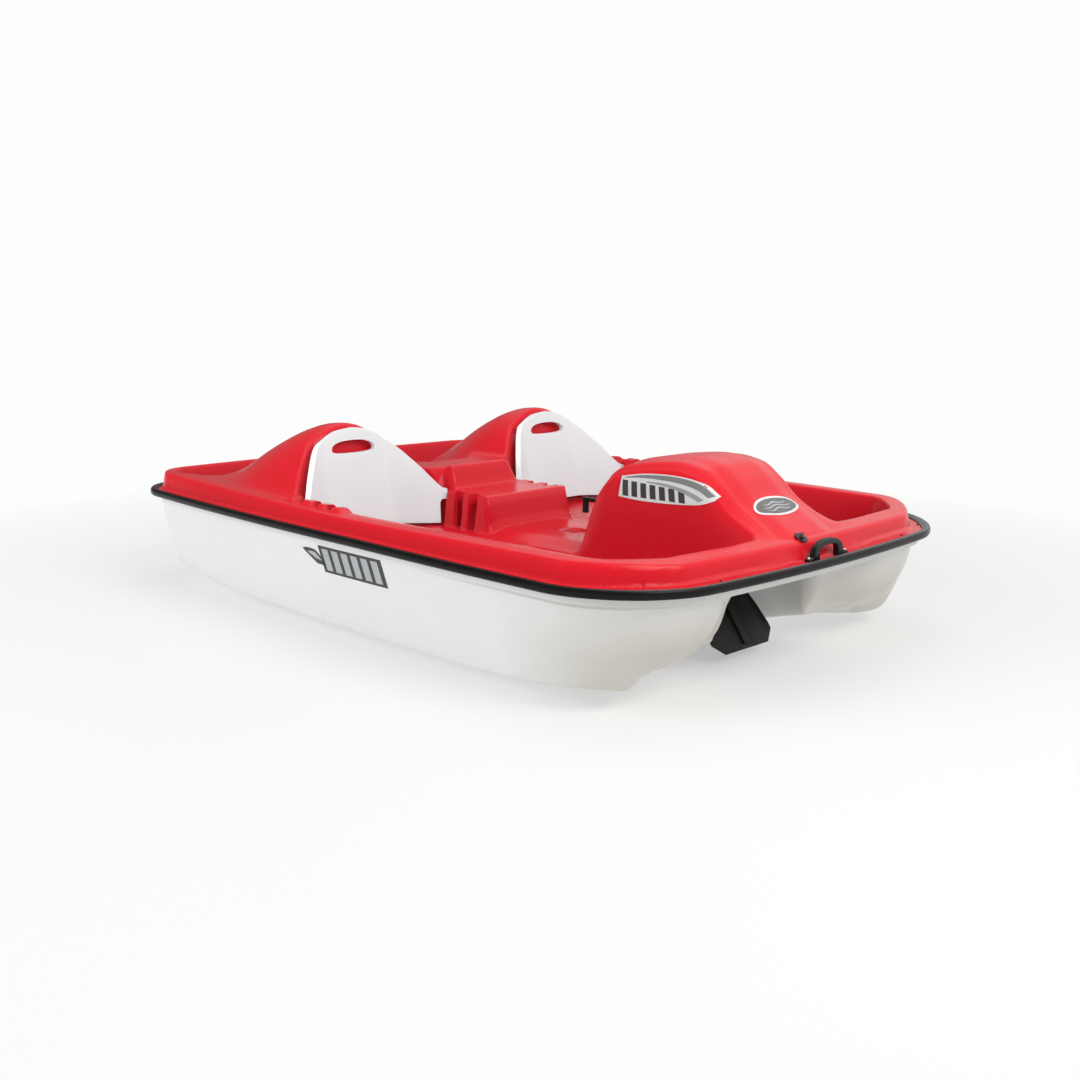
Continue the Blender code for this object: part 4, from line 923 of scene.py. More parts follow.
def shell(height, along, across, insets, inner_insets, inner_above, detail=None):
    """A closed sheet: a fine outer face and an inner one of every second station, joined at
    the edge. detail adds to the outer face's height."""
    x, y, faces = plan_grid(along, across, insets)
    z = height(x, y)
    if detail is not None:
        z = z + detail(x, y)
    outer = np.stack([x, y, z], 1)
    x, y, inner_faces = plan_grid(along[::2], across[::2], inner_insets)
    loop = 2 * (len(along) - 1) + 2 * (len(across) - 1)
    half = loop // 2
    normals = surface_normals(height, x, y, 1e-4)
    normals[-2 * half:] = UP      # the two outmost rings lie on the flat flange
    inner = np.stack([x, y, height(x, y)], 1) + normals * (SHEET if inner_above else -SHEET)
    base = len(outer)
    out = [f[::-1] if inner_above else f for f in faces]
    out += [tuple(base + v for v in (f if inner_above else f[::-1])) for f in inner_faces]
    first, low = base - loop, base + len(inner) - half
    for k in range(half):
        rim = (first + 2 * k, first + 2 * k + 1, first + (2 * k + 2) % loop,
               low + (k + 1) % half, low + k)
        out.append(rim if inner_above else rim[::-1])
    return mesh_of(np.concatenate([outer, inner]), out)


def even(stations):
    """Stations refined so that their count of gaps is even."""
    if (len(stations) - 1) % 2:
        k = int(np.argmax(np.diff(stations)))
        stations = np.insert(stations, k + 1, (stations[k] + stations[k + 1]) / 2)
    return stations


def mirrored(half):
    return np.concatenate([-half[:0:-1], half])


def spaced(stations):
    """Stations brought to -1..1."""
    return 2 * (stations - stations[0]) / (stations[-1] - stations[0]) - 1


def lines_on_deck(x, y):
    """A bead where the coaming meets the flange, and a ring around the cup."""
    inset, bow, stern = inset_of(x, y)
    foot = coaming_foot(bow, stern)
    bead = 0.0016 * np.exp(-((inset - foot + 0.0010) / 0.0022) ** 2)
    from_cup = np.hypot(x - CUP_X, y)
    ring = 0.0012 * np.exp(-((from_cup - 0.060) / 0.0020) ** 2) * (from_cup < 0.075)
    return bead + ring


# stretches are (start, end, spacing), closer where the surface turns sharply
deck_along = spaced(even(graded(
    (-1.069, -1.00, 0.009), (-1.00, -0.47, 0.0105), (-0.47, -0.36, 0.0075),
    (-0.36, -0.22, 0.0065), (-0.22, -0.05, 0.0045), (-0.05, 0.06, 0.0070), (0.06, 0.20, 0.011),
    (0.20, 0.33, 0.0065), (0.33, 0.42, 0.011), (0.42, 0.56, 0.0065), (0.56, 0.86, 0.0105),
    (0.86, 1.025, 0.0070))))
deck_across = spaced(mirrored(graded(
    (0.0, 0.10, 0.0105), (0.10, 0.23, 0.0050), (0.23, 0.31, 0.0075), (0.31, 0.55, 0.0115),
    (0.55, 0.645, 0.0060))))
deck_insets = [*np.linspace(0.1205, 0.070, 12), *np.linspace(0.0665, 0.030, 14),
               0.0262, 0.0205, 0.0140, 0.0095, EDGE_INSET]
deck_inner_insets = [0.112, 0.098, 0.080, 0.066, 0.053, 0.044, 0.030, 0.018, EDGE_INSET]
hull_along = spaced(even(graded(
    (-1.069, -1.00, 0.009), (-1.00, 0.40, 0.020), (0.40, 0.58, 0.0075), (0.58, 0.90, 0.0115),
    (0.90, 1.025, 0.0065))))
hull_across = spaced(mirrored(graded(
    (0.0, 0.12, 0.016), (0.12, 0.25, 0.0055), (0.25, 0.56, 0.0080), (0.56, 0.645, 0.0060))))
hull_insets = [*np.linspace(0.1215, 0.060, 17), *np.linspace(0.0570, 0.0415, 7),
               0.0400, 0.0385, 0.0370, 0.0355, 0.0345, 0.0335, 0.0325, 0.026, 0.018, EDGE_INSET]
hull_inner_insets = [0.108, 0.092, 0.076, 0.062, 0.050, 0.0405, 0.036, 0.0335, 0.020, EDGE_INSET]

DRAIN = Vector((1.122, -0.054, 0.0))
DRAIN.z = float(deck_z(np.array([DRAIN.x]), np.array([DRAIN.y]))[0])
DRAIN_AXIS = Vector((0.47, 0, 0.88)).normalized()
POST_HOLE_R = 0.0165


def shaft_and_column_holes():
    """Cutters for the wheel's shaft on both sides and for the steering column."""
    holes = [rod((WHEEL_X, sign * 0.215, WHEEL_Z), ACROSS, 0.0225, 0.150, 48)
             for sign in (-1, 1)]
    return holes + [rod((STEER_X, 0, 0.24), UP, POST_HOLE_R, 0.140, 48)]


deck = shell(deck_z, deck_along, deck_across, deck_insets, deck_inner_insets,
             inner_above=False, detail=lines_on_deck)
hull = shell(hull_z, hull_along, hull_across, hull_insets, hull_inner_insets, inner_above=True)
deck = cut(deck, *shaft_and_column_holes(), rod(DRAIN, DRAIN_AXIS, 0.0125, 0.05, 40))
hull = cut(hull, *shaft_and_column_holes(), rod((RUDDER_X, 0, 0.20), UP, POST_HOLE_R, 0.060, 48))
piece("deck_shell", deck, "root", "deck_red", "deck", smooth=60)
piece("hull_shell", hull, "root", "hull_white", "hull", smooth=60)


# ------------------------------------------------------------------ bumper rail
def plan_outline(inset):
    """The plan's outline at an inset, counterclockwise from the starboard end of the bow."""
    length, beam = HALF_LENGTH - inset, BASE_BEAM - inset
    bow_r, stern_r = R_BOW - inset, R_STERN - inset
    points = []

    def arc(x, y, radius, start, count):
        for i in range(count):
            angle = math.radians(start + 90 * i / count)
            points.append((x + radius * math.cos(angle), y + radius * math.sin(angle)))

    def line(x0, y0, x1, y1, count):
        for i in range(count):
            points.append((x0 + (x1 - x0) * i / count, y0 + (y1 - y0) * i / count))

    line(length, -(beam - bow_r), length, beam - bow_r, 30)
    arc(length - bow_r, beam - bow_r, bow_r, 0, 40)
    line(length - bow_r, beam, -(length - stern_r), beam, 60)
    arc(-(length - stern_r), beam - stern_r, stern_r, 90, 30)
    line(-length, beam - stern_r, -length, -(beam - stern_r), 30)
    arc(-(length - stern_r), -(beam - stern_r), stern_r, 180, 30)
    line(-(length - stern_r), -beam, length - bow_r, -beam, 60)
    arc(length - bow_r, -(beam - bow_r), bow_r, 270, 40)
    points = np.array(points)
    return np.stack(warp(points[:, 0], points[:, 1]), 1)


def rail_section():
    """(inset, z) around the rail: a lip on the deck flange, the outer bead, a short lip under
    the hull flange, and the channel that takes both flanges."""
    upper = [(RAIL_LIP, 0.3451), (RAIL_LIP + 0.0006, 0.3460), (RAIL_LIP, 0.3472),
             (RAIL_LIP - 0.004, 0.3484), (0.0165, 0.3499), (0.0120, 0.3508)]
    bead = [(0.0092 - 0.0092 * math.sin(math.pi * k / 10) ** 0.8,
             0.3387 + 0.0125 * math.cos(math.pi * k / 10)) for k in range(1, 10)]
    lower = [(0.0120, 0.3268), (0.0180, 0.3282), (0.0220, 0.3300), (0.0224, 0.3322),
             (0.0220, 0.3346), (0.0036, 0.3346), (0.0036, 0.3451)]
    return upper + bead + lower


def bumper_rail():
    edge = plan_outline(0.020)
    _, facing, _ = inset_of(edge[:, 0], edge[:, 1])
    corner = ease(0.05, 0.40, facing) * ease(1.0, 0.72, facing)
    section = rail_section()
    rings = []
    for inset, z in section:
        # the lip on the deck is wider around the bow corners
        on_deck_lip = float(ease(0.0100, RAIL_LIP - 0.002, inset)) * (z > 0.3448)
        ring = plan_outline(inset)
        ring = ring + (plan_outline(inset + 0.0095) - ring) * (corner * on_deck_lip)[:, None]
        rings.append(np.concatenate([ring, (z + sheer(ring[:, 0]))[:, None]], 1))
    count = len(edge)
    faces = []
    for k in range(len(section)):
        after = (k + 1) % len(section)
        for i in range(count):
            j = (i + 1) % count
            faces.append((k * count + i, k * count + j, after * count + j, after * count + i))
    return closed(np.concatenate(rings), faces)


piece("bumper_rail_bead", bumper_rail(), "root", "rail_black", "bumper_rail", smooth=40)

# ------------------------------------------------------------------ seatbacks
# (distance from the seat's middle, z of the top edge)
BACK_TOP = [(0.0, 0.593), (0.0535, 0.586), (0.080, 0.576), (0.11, 0.560), (0.14, 0.541),
            (0.1625, 0.521), (0.18, 0.502), (0.1975, 0.480), (0.2225, 0.448), (0.2425, 0.418),
            (0.2575, 0.397), (0.268, 0.385), (0.279, 0.382)]


def hand_hole(sign):
    outline = []
    for k in range(72):
        cos, sin = math.cos(2 * math.pi * k / 72), math.sin(2 * math.pi * k / 72)
        y = 0.084 * math.copysign(abs(cos) ** 0.85, cos)
        rise = 0.027 * sin ** 0.9 if sin > 0 else -0.015 * abs(sin) ** 0.5
        outline.append((sign * (SEAT_Y + y), 0.527 + rise))
    cutter = slab(outline, -0.45, -0.25)
    cutter.transform(STANDING)
    return cutter


def seatback(sign):
    half = graded((0.0, 0.24, 0.0075), (0.24, 0.262, 0.0055), (0.262, 0.279, 0.0042))
    half_top = curve(BACK_TOP, half)
    across = mirrored(half)
    top = np.concatenate([half_top[:0:-1], half_top])
    rows, count = 27, len(across)
    points, faces = [], []
    for part in np.linspace(0, 1, rows):
        for out, top_z in zip(across, top):
            # the outmost strips end higher up
            outmost = float(ease(0.252, 0.258, abs(out)))
            low = BACK_BOTTOM + (0.347 - BACK_BOTTOM) * outmost
            z = low + (top_z - low) * part
            # the outboard half narrows toward the bottom
            narrow = 1.0 - (0.035 if out > 0 else 0.0) * max(0.0, 0.350 - z) / 0.082
            off = SEAT_Y + out * narrow
            points.append((float(back_x(off, z)), sign * off, z))
    for i in range(rows - 1):
        for j in range(count - 1):
            face = (i * count + j, i * count + j + 1, (i + 1) * count + j + 1, (i + 1) * count + j)
            faces.append(face if sign < 0 else face[::-1])
    panel = add_object("work_back", mesh_of(points, faces))
    solid = panel.modifiers.new("thickness", "SOLIDIFY")
    solid.thickness, solid.offset = BACK_T, 0.0
    bake(panel)
    return rounded(cut(taken(panel), hand_hole(sign)), width=0.0048, segments=3, angle=42)


for side, sign in SIDES:
    piece(f"seatback_panel_{side}", seatback(sign), f"seatback_{side}", "seat_white",
          f"seatback_{side}", smooth=50)

# ------------------------------------------------------------------ pedals
RIB_PITCH, RIB_HALF, RIB_HEIGHT = 0.011, 0.0017, 0.0035


def pedal(at):
    half = Vector((PEDAL_L / 2, PEDAL_W / 2, PEDAL_T / 2 - 0.0022))
    body = brick(at - half, at + half, bevel=0.006, segments=3)
    boss = rod(at, ACROSS, 0.0165, PEDAL_W - 0.004, 48, chamfer=0.0015)
    ribs = []
    half_width = PEDAL_W / 2
    for low, high in ((at.z - PEDAL_T / 2, at.z - PEDAL_T / 2 + RIB_HEIGHT),
                      (at.z + PEDAL_T / 2 - RIB_HEIGHT, at.z + PEDAL_T / 2)):
        for k in (0, 1, 2, 4, 5, 6):      # the boss takes the middle place
            x = at.x - 0.033 + RIB_PITCH * k
            ribs.append(brick((x - RIB_HALF, at.y - half_width + 0.007, low),
                              (x + RIB_HALF, at.y + half_width - 0.007, high),
                              bevel=0.0007, segments=1))
    return cut(union(body, boss, *ribs), rod(at, ACROSS, ROD_R + 0.0008, PEDAL_W + 0.02, 40))


for side, sign in SIDES:
    for which, y, throw in (("outer", PIN_OUT, CRANK_THROW * sign),
                            ("inner", PIN_IN, -CRANK_THROW * sign)):
        name = f"pedal_{which}_{side}"
        piece(name + "_tread", pedal(Vector((WHEEL_X + throw, sign * y, WHEEL_Z))), name,
              "fitting_black", name, smooth=35)

# ------------------------------------------------------------------ paddle wheel
# (distance from the wheel's axis, half width) along a blade, and along the ribs by its edges
BLADE_EDGE = [(0.036, 0.046), (0.066, 0.104), (0.150, 0.128), (0.215, 0.139), (0.234, 0.138),
              (WHEEL_R, 0.098)]
EDGE_RIB = [(0.040, 0.041), (0.068, 0.094), (0.150, 0.118), (0.213, 0.129)]


def paddle_blade(angle):
    outline = BLADE_EDGE + [(reach, -width) for reach, width in reversed(BLADE_EDGE)]
    plate = rounded(slab(outline, -0.003, 0.003), width=0.0012, segments=2, angle=25)
    ribs = [brick((0.0365, -0.0125, -0.0105), (0.256, 0.0125, 0.0105), bevel=0.003, segments=2)]
    for sign in (-1, 1):
        path = bends([(reach, sign * width, 0) for reach, width in EDGE_RIB], 0.02, 5)
        ribs.append(piped(path, (0.0032, 0.0058), 12))
    mesh = cut(union(plate, *ribs), rod((0.060, 0.030, 0.0), UP, 0.0043, 0.05, 24))
    radial, across = Vector((math.sin(angle), 0, -math.cos(angle))), Vector(ACROSS)
    to_wheel = Matrix((radial, across, radial.cross(across))).transposed().to_4x4()
    to_wheel.translation = (WHEEL_X, 0, WHEEL_Z)
    mesh.transform(to_wheel)
    return mesh


for k in range(BLADES):
    piece(f"paddle_blade_moulding_{k + 1}", paddle_blade(BLADE_PHASE + 2 * math.pi * k / BLADES),
          "crank", "blade_black", f"paddle_blade_{k + 1}", smooth=30)

# (radius, distance to port) of the hub's port half; a shallow groove runs round its middle
hub_half = [(0.0098, 0.0600), (0.0215, 0.0600), (0.0225, 0.0588), (0.0330, 0.0462),
            (0.0340, 0.0440), (0.0340, 0.0040)]
hub = hub_half + [(0.0325, 0.0)] + [(radius, -y) for radius, y in hub_half[::-1]]
piece("paddle_hub_moulding", lathe(hub, (WHEEL_X, 0, WHEEL_Z), ACROSS, 72, close=True),
      "crank", "blade_black", "paddle_hub", smooth=32)


def crank_path(sign):
    """The crank's corners on one side, from its outer end to the shaft."""
    ahead, behind = WHEEL_X + CRANK_THROW * sign, WHEEL_X - CRANK_THROW * sign
    corners = ((ahead, ROD_END), (ahead, WEB_MID), (behind, WEB_MID), (behind, WEB_IN),
               (WHEEL_X, WEB_IN))
    return [(x, sign * y, WHEEL_Z) for x, y in corners]


crank = bends(crank_path(-1) + crank_path(1)[::-1], 0.015, 8)
piece("crankshaft_rod", piped(crank, ROD_R, 28), "crank", "steel", "crankshaft", smooth=40)

# (radius, distance outboard)
END_CAP = [(0.0, 0.0125), (0.006, 0.0123), (0.0098, 0.0114), (0.0124, 0.0096), (0.0135, 0.0070),
           (0.0135, 0.0010), (0.0128, 0.0004), (0.0135, -0.0002), (0.0135, -0.004), (0.0, -0.004)]
SHAFT_BUSH = [(0.0098, 0.0790), (0.0108, 0.0800), (0.0320, 0.0800), (0.0330, 0.0790),
              (0.0330, 0.0745), (0.0325, 0.0740), (0.0218, 0.0740), (0.0218, 0.0), (0.0098, 0.0)]
for side, sign in SIDES:
    cap_at = (WHEEL_X + CRANK_THROW * sign, sign * (ROD_END + 0.0044), WHEEL_Z)
    piece(f"crank_end_cap_dome_{side}", lathe(END_CAP, cap_at, (0, sign, 0), 48),
          "crank", "fitting_black", f"crank_end_cap_{side}", smooth=35)
    bush = lathe(SHAFT_BUSH, (WHEEL_X, sign * 0.172, WHEEL_Z), (0, sign, 0), 64, close=True)
    piece(f"shaft_bush_flanged_{side}", bush, "root", "nylon", f"shaft_bush_{side}", smooth=32)

# ------------------------------------------------------------------ steering and rudder
POST_R = 0.0080            # steering column and rudder stock
POST_BORE_R = 0.0084       # holes of the pieces that sit on them
COLUMN_TOP = 0.3785
STOCK_LOW, STOCK_TOP = 0.060, 0.2150


def flanged_bush(node, x, low, high, flange, wide):
    """A bush from low to high whose flange, of radius wide, starts at the height flange."""
    bore, outer = 0.0088, 0.0158
    profile = [(bore, high - 0.0008), (bore + 0.0008, high), (wide - 0.001, high),
               (wide, high - 0.001), (wide, flange + 0.0006), (wide - 0.0006, flange),
               (outer, flange), (outer, low), (bore, low)]
    piece(node + "_flanged", lathe(profile, (x, 0, 0), UP, 64, close=True), "root", "nylon",
          node, smooth=32)


def post(x, low, high):
    return rod((x, 0, (low + high) / 2), UP, POST_R, high - low, 40, chamfer=0.0008)


flanged_bush("steering_bush", STEER_X, low=0.188, high=0.2840, flange=0.2790, wide=0.0260)
flanged_bush("rudder_bush", RUDDER_X, low=0.186, high=0.2105, flange=0.2052, wide=0.0230)
piece("steering_column_rod", post(STEER_X, LINK_Z, COLUMN_TOP), "steering", "steel",
      "steering_column", smooth=35)

# tiller: a hub on the column, a neck with a web under it, and an end disc over the grip.
# Profiles are (radius, z).
TILLER_HUB = [(0.0, 0.3950), (0.0120, 0.3950), (0.0155, 0.3940), (0.0172, 0.3918),
              (0.0175, 0.3895), (0.0175, 0.3802), (0.0165, 0.3792), (0.0, 0.3792)]
TILLER_END = [(0.0, 0.3925), (0.0080, 0.3925), (0.0104, 0.3915), (0.0110, 0.3895),
              (0.0110, 0.3825), (0.0100, 0.3815), (0.0, 0.3815)]
tiller = union(lathe(TILLER_HUB, (STEER_X, 0, 0), UP, 56),
               brick((GRIP_X + 0.004, -0.0082, 0.3815), (STEER_X - 0.004, 0.0082, 0.3925),
                     bevel=0.0034, segments=4),
               brick((GRIP_X + 0.012, -0.0026, 0.3790), (STEER_X - 0.008, 0.0026, 0.3840),
                     bevel=0.0010, segments=2),
               lathe(TILLER_END, (GRIP_X, 0, 0), UP, 48))
piece("tiller_arm_moulding", tiller, "steering", "fitting_black", "tiller_arm", smooth=35)


def tiller_grip():
    """A bulging grip with fine rings, flared at its lower end."""
    profile = [(0.0, 0.3812), (0.0075, 0.3812)]
    for k in range(33):
        part = k / 32
        radius = (0.0088 + 0.0012 * math.sin(math.pi * part)
                  + 0.0016 * float(ease(0.72, 0.92, part)))
        if 0.12 < part < 0.80:
            radius += 0.00045 * (1 if k % 3 else -1)
        profile.append((radius, 0.3800 - 0.0370 * part))
    profile += [(0.0092, 0.3424), (0.0, 0.3420)]
    return lathe(profile, (GRIP_X, 0, 0), UP, 48)


piece("tiller_grip_ribbed", tiller_grip(), "steering", "fitting_black", "tiller_grip",
      smooth=30, material=MATS["grip"])


def link_arm(x):
    """A plate from the post to the tie rod, with its pin."""
    z, thick, steps = LINK_Z - 0.0045, 0.008, 28
    outline = []
    for start, radius, y in ((0.0, 0.013, ARM), (math.pi, 0.016, 0.0)):
        for k in range(steps + 1):
            angle = start + math.pi * k / steps
            outline.append((radius * math.cos(angle), y + radius * math.sin(angle)))
    plate = slab(outline, z - thick / 2, z + thick / 2)
    plate.transform(Matrix.Translation((x, 0, 0)))
    plate = rounded(plate, width=0.0009, segments=2, angle=40)
    pin = rod((x, ARM, LINK_Z - 0.0135), UP, 0.0045, 0.014, 32, chamfer=0.0006)
    return cut(union(plate, pin), rod((x, 0, LINK_Z), UP, POST_BORE_R, 0.05, 40))


for body, x in (("steering", STEER_X), ("rudder", RUDDER_X)):
    piece(f"{body}_arm_plate", link_arm(x), body, "steel", f"{body}_arm", smooth=35)

tie_z = LINK_Z - 0.0145
tie = brick((RUDDER_X, ARM - 0.006, LINK_Z - 0.0175), (STEER_X, ARM + 0.006, LINK_Z - 0.0115),
            bevel=0.0016, segments=3)
tie = union(tie, *[rod((x, ARM, tie_z), UP, 0.0115, 0.006, 48, chamfer=0.0008)
                   for x in (RUDDER_X, STEER_X)])
tie = cut(tie, *[rod((x, ARM, tie_z), UP, 0.0051, 0.03, 32) for x in (RUDDER_X, STEER_X)])
piece("tie_rod_bar", tie, "link", "steel", "tie_rod", smooth=35)

# (radius, height above the link's plane)
LINK_CLIP = [(0.0, -0.0210), (0.0084, -0.0210), (0.0090, -0.0214), (0.0090, -0.0236),
             (0.0084, -0.0240), (0.0050, -0.0240), (0.0044, -0.0233), (0.0, -0.0233)]
for body, x in (("steering", STEER_X), ("rudder", RUDDER_X)):
    piece(f"{body}_link_clip_star", lathe(LINK_CLIP, (x, ARM, LINK_Z), UP, 40), body, "steel",
          f"{body}_link_clip", smooth=35)

piece("rudder_stock_rod", post(RUDDER_X, STOCK_LOW, STOCK_TOP), "rudder", "steel",
      "rudder_stock", smooth=35)


def foil():
    """Rudder blade: a foil section with rounded corners, thinner at the trailing edge."""
    lead, trail, low, high = RUDDER_X + 0.055, RUDDER_X - 0.105, 0.026, 0.140
    half_steps, rows, half_thick = 30, 20, 0.0070
    count = 2 * half_steps
    points, faces = [], []
    for j in range(rows + 1):
        part = j / rows
        pull = 0.018 * (1 - math.sqrt(max(0.0, 1 - (1 - min(1.0, part / 0.28)) ** 2)))
        shrink = 1.0
        if part < 0.10:
            shrink *= 0.35 + 0.65 * math.sqrt(min(1.0, (0.02 + part) / 0.10))
        if part > 0.92:
            shrink *= 0.45 + 0.55 * math.sqrt(min(1.0, (1.02 - part) / 0.10))
        front, rear = lead - pull * 0.6, trail + pull
        for k in range(count):
            turn = k / half_steps
            back = turn if turn <= 1 else 2 - turn
            x = front + (rear - front) * (1 - math.cos(math.pi * back)) / 2
            ahead = (x - rear) / (front - rear)
            thick = (half_thick * (0.22 + 0.78 * min(1.0, 1.5 * ahead ** 0.8))
                     * math.sqrt(max(0.02, 1 - max(0.0, (ahead - 0.72) / 0.28) ** 2)) * shrink)
            points.append((x, thick if turn <= 1 else -thick, low + (high - low) * part))
    for j in range(rows):
        for k in range(count):
            after = (k + 1) % count
            faces.append((j * count + k, j * count + after,
                          (j + 1) * count + after, (j + 1) * count + k))
    faces.append(tuple(range(count)))
    faces.append(tuple(range(rows * count, (rows + 1) * count))[::-1])
    return closed(points, faces)


boss = rod((RUDDER_X, 0, (0.040 + 0.152) / 2), UP, 0.0150, 0.112, 56, chamfer=0.0020, steps=3)
rudder = cut(union(foil(), boss), rod((RUDDER_X, 0, 0.115), UP, POST_BORE_R, 0.114, 40))
piece("rudder_blade_foil", rudder, "rudder", "blade_black", "rudder_blade", smooth=35)

# ------------------------------------------------------------------ bow fittings
HANDLE_X, HANDLE_T = 1.170, 0.018
HANDLE_Z = Z_DECK_FLANGE - BOW_DROP + 0.0004


def arch(half, height, power):
    """(y, z) over an arch from port to starboard; a lower power makes it squarer."""
    out = []
    for k in range(45):
        angle = math.pi * k / 44
        cos = math.cos(angle)
        out.append((half * math.copysign(abs(cos) ** power, cos),
                    height * math.sin(angle) ** power))
    return out


def bow_handle():
    """An arch on two feet, with a groove over its top."""
    foot = [(0.092, 0.0), (0.092, 0.007), (0.076, 0.012)]
    top = arch(0.070, 0.052, 0.80)
    outline = (foot + top[1:-1] + [(-y, z) for y, z in foot[::-1]]
               + arch(0.043, 0.036, 0.45)[::-1])
    mesh = rounded(slab(outline, -HANDLE_T / 2, HANDLE_T / 2), width=0.0028, segments=3, angle=30)
    mesh.transform(Matrix.Translation((HANDLE_X, 0, HANDLE_Z)) @ STANDING)
    groove = [(HANDLE_X, y, HANDLE_Z + z + 0.0012) for y, z in top[5:-5]]
    return cut(mesh, piped(groove, (0.0028, 0.0030), 10))


def drain_plug():
    # (radius, height over the deck)
    knob = [(0.0, 0.0060), (0.0080, 0.0060), (0.0092, 0.0052), (0.0095, 0.0045),
            (0.0180, 0.0042), (0.0190, 0.0034), (0.0190, 0.0018), (0.0182, 0.0012),
            (0.0118, 0.0012), (0.0110, -0.0170), (0.0102, -0.0180), (0.0, -0.0180)]
    bar = brick((-0.0035, -0.0150, 0.0030), (0.0035, 0.0150, 0.0125), bevel=0.0018, segments=3)
    plug = union(lathe(knob, (0, 0, 0), UP, 56), bar)
    plug.transform(Matrix.Translation(DRAIN + DRAIN_AXIS * 0.0022) @ turn_to(DRAIN_AXIS)
                   @ Matrix.Rotation(math.radians(35), 4, "Z"))
    return plug


piece("bow_handle_arch", bow_handle(), "root", "fitting_black", "bow_handle", smooth=32)
piece("drain_plug_knob", drain_plug(), "drain_plug", "fitting_black", "drain_plug", smooth=32)

# these keep their CAD solids, with their edges eased
for node in ("bow_handle_screw_port", "bow_handle_screw_starboard", "hub_screw_1",
             "hub_screw_2", "rudder_stock_nut"):
    ease_edges(frame["nodes"][node], width=0.0004, segments=2, angle=32)
for side, _ in SIDES:
    for where in ("seat", "stern"):
        ease_edges(frame["nodes"][f"flotation_foam_{where}_{side}"],
                   width=0.004, segments=2, angle=32)

RIVET_HEAD = [(0.0, 0.0026), (0.0014, 0.0025), (0.0026, 0.0020), (0.0034, 0.0011),
              (0.0037, 0.0003), (0.0036, 0.0), (0.0, 0.0)]   # (radius, height)
for k in range(1, 5):
    low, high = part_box(f"flange_rivet_{k}")
    rivet = lathe(RIVET_HEAD, ((low.x + high.x) / 2, (low.y + high.y) / 2, low.z), UP, 32)
    piece(f"flange_rivet_head_{k}", rivet, "root", "fitting_black", f"flange_rivet_{k}",
          smooth=35)


# ------------------------------------------------------------------ stickers, all plain shapes
def ink(name, colour, rough=0.32, metal=0.0):
    """Printed film, with a faint pattern of dots."""
    mat = Shader(name)
    tint = mat.mix(mat.drift(scale=25.0, detail=4.0, rough=0.6), colour, toned(colour, 0.88))
    tint = mat.mix(mat.span(mat.cells(scale=1400.0), (0.1, 0.5), (0.0, 0.06)), tint, WHITE)
    normal = mat.bump(mat.noise(scale=300.0), distance=0.00003, strength=0.5)
    roughness = mat.drift(to=(rough, rough + 0.08), scale=60.0, detail=3.0)
    return mat.set(colour=tint, rough=roughness, metal=metal, normal=normal, spec=0.2)


INK = {"black": ink("sticker_black", (0.012, 0.012, 0.013)),
       "white": ink("sticker_white", (0.82, 0.82, 0.82)),
       "silver": ink("sticker_silver", (0.46, 0.48, 0.50), rough=0.28, metal=0.35),
       "grey": ink("sticker_grey", (0.10, 0.105, 0.11)),
       "slate": ink("sticker_slate", (0.215, 0.220, 0.225))}


def on_wall(height, inside, near, far):
    """Places points (x, z) on a starboard wall found between the distances near and far.
    inside(surface height, z) tells that the wall lies farther out."""
    def wall_y(x, z):
        low, high = np.full_like(x, near), np.full_like(x, far)
        for _ in range(34):
            middle = (low + high) / 2
            farther = inside(height(x, -middle), z)
            low, high = np.where(farther, middle, low), np.where(farther, high, middle)
        return -(low + high) / 2

    def place(x, z, lift):
        y = wall_y(x, z)
        step = 1e-3
        slope_x = (wall_y(x + step, z) - wall_y(x - step, z)) / (2 * step)
        slope_z = (wall_y(x, z + step) - wall_y(x, z - step)) / (2 * step)
        return np.stack([x, y, z], 1) + unit(slope_x, -np.ones_like(slope_x), slope_z) * lift
    return place


on_hump = on_wall(deck_z, np.greater, near=0.10, far=0.235)
on_side = on_wall(hull_z, np.less, near=0.62, far=0.80)


def on_deck(x, y, lift):
    return np.stack([x, y, deck_z(x, y)], 1) + surface_normals(deck_z, x, y, 1e-3) * lift


def sticker(name, place, patches, colour, layer, steps=72, strips=6):
    """Patches laid on a surface as thin closed sheets. A patch is a pair of edge curves, each
    a function of 0..1; layer lifts it over the ones below."""
    base, thick, width = 0.0006 + 0.00030 * layer, 0.00025, strips + 1
    along, across = np.linspace(0, 1, steps + 1), np.linspace(0, 1, width)
    rim = ([i * width for i in range(steps)] + [steps * width + j for j in range(strips)]
           + [i * width + strips for i in range(steps, 0, -1)] + list(range(strips, 0, -1)))
    points, faces, first = [], [], 0
    for near_edge, far_edge in patches:
        near = np.array([near_edge(t) for t in along])[:, None]
        far = np.array([far_edge(t) for t in along])[:, None]
        flat = near * (1 - across)[None, :, None] + far * across[None, :, None]
        one, other = flat.reshape(-1, 2).T.copy()
        top = place(one, other, base + thick)
        bottom = place(one, other, base)
        count = len(top)
        for i in range(steps):
            for j in range(strips):
                face = (i * width + j, (i + 1) * width + j,
                        (i + 1) * width + j + 1, i * width + j + 1)
                faces.append(tuple(first + v for v in face))
                faces.append(tuple(first + count + v for v in face[::-1]))
        for i, j in zip(rim, rim[1:] + rim[:1]):
            faces.append((first + j, first + i, first + count + i, first + count + j))
        points += [top, bottom]
        first += 2 * count
    mesh = closed(np.concatenate(points), faces, weld=2e-6)
    show(name, mesh, "root", INK[colour], smooth=40)


def both_edges(edge):
    """An edge rule of (sign, t), as its pair of curves."""
    return (lambda t: edge(-1, t)), (lambda t: edge(1, t))


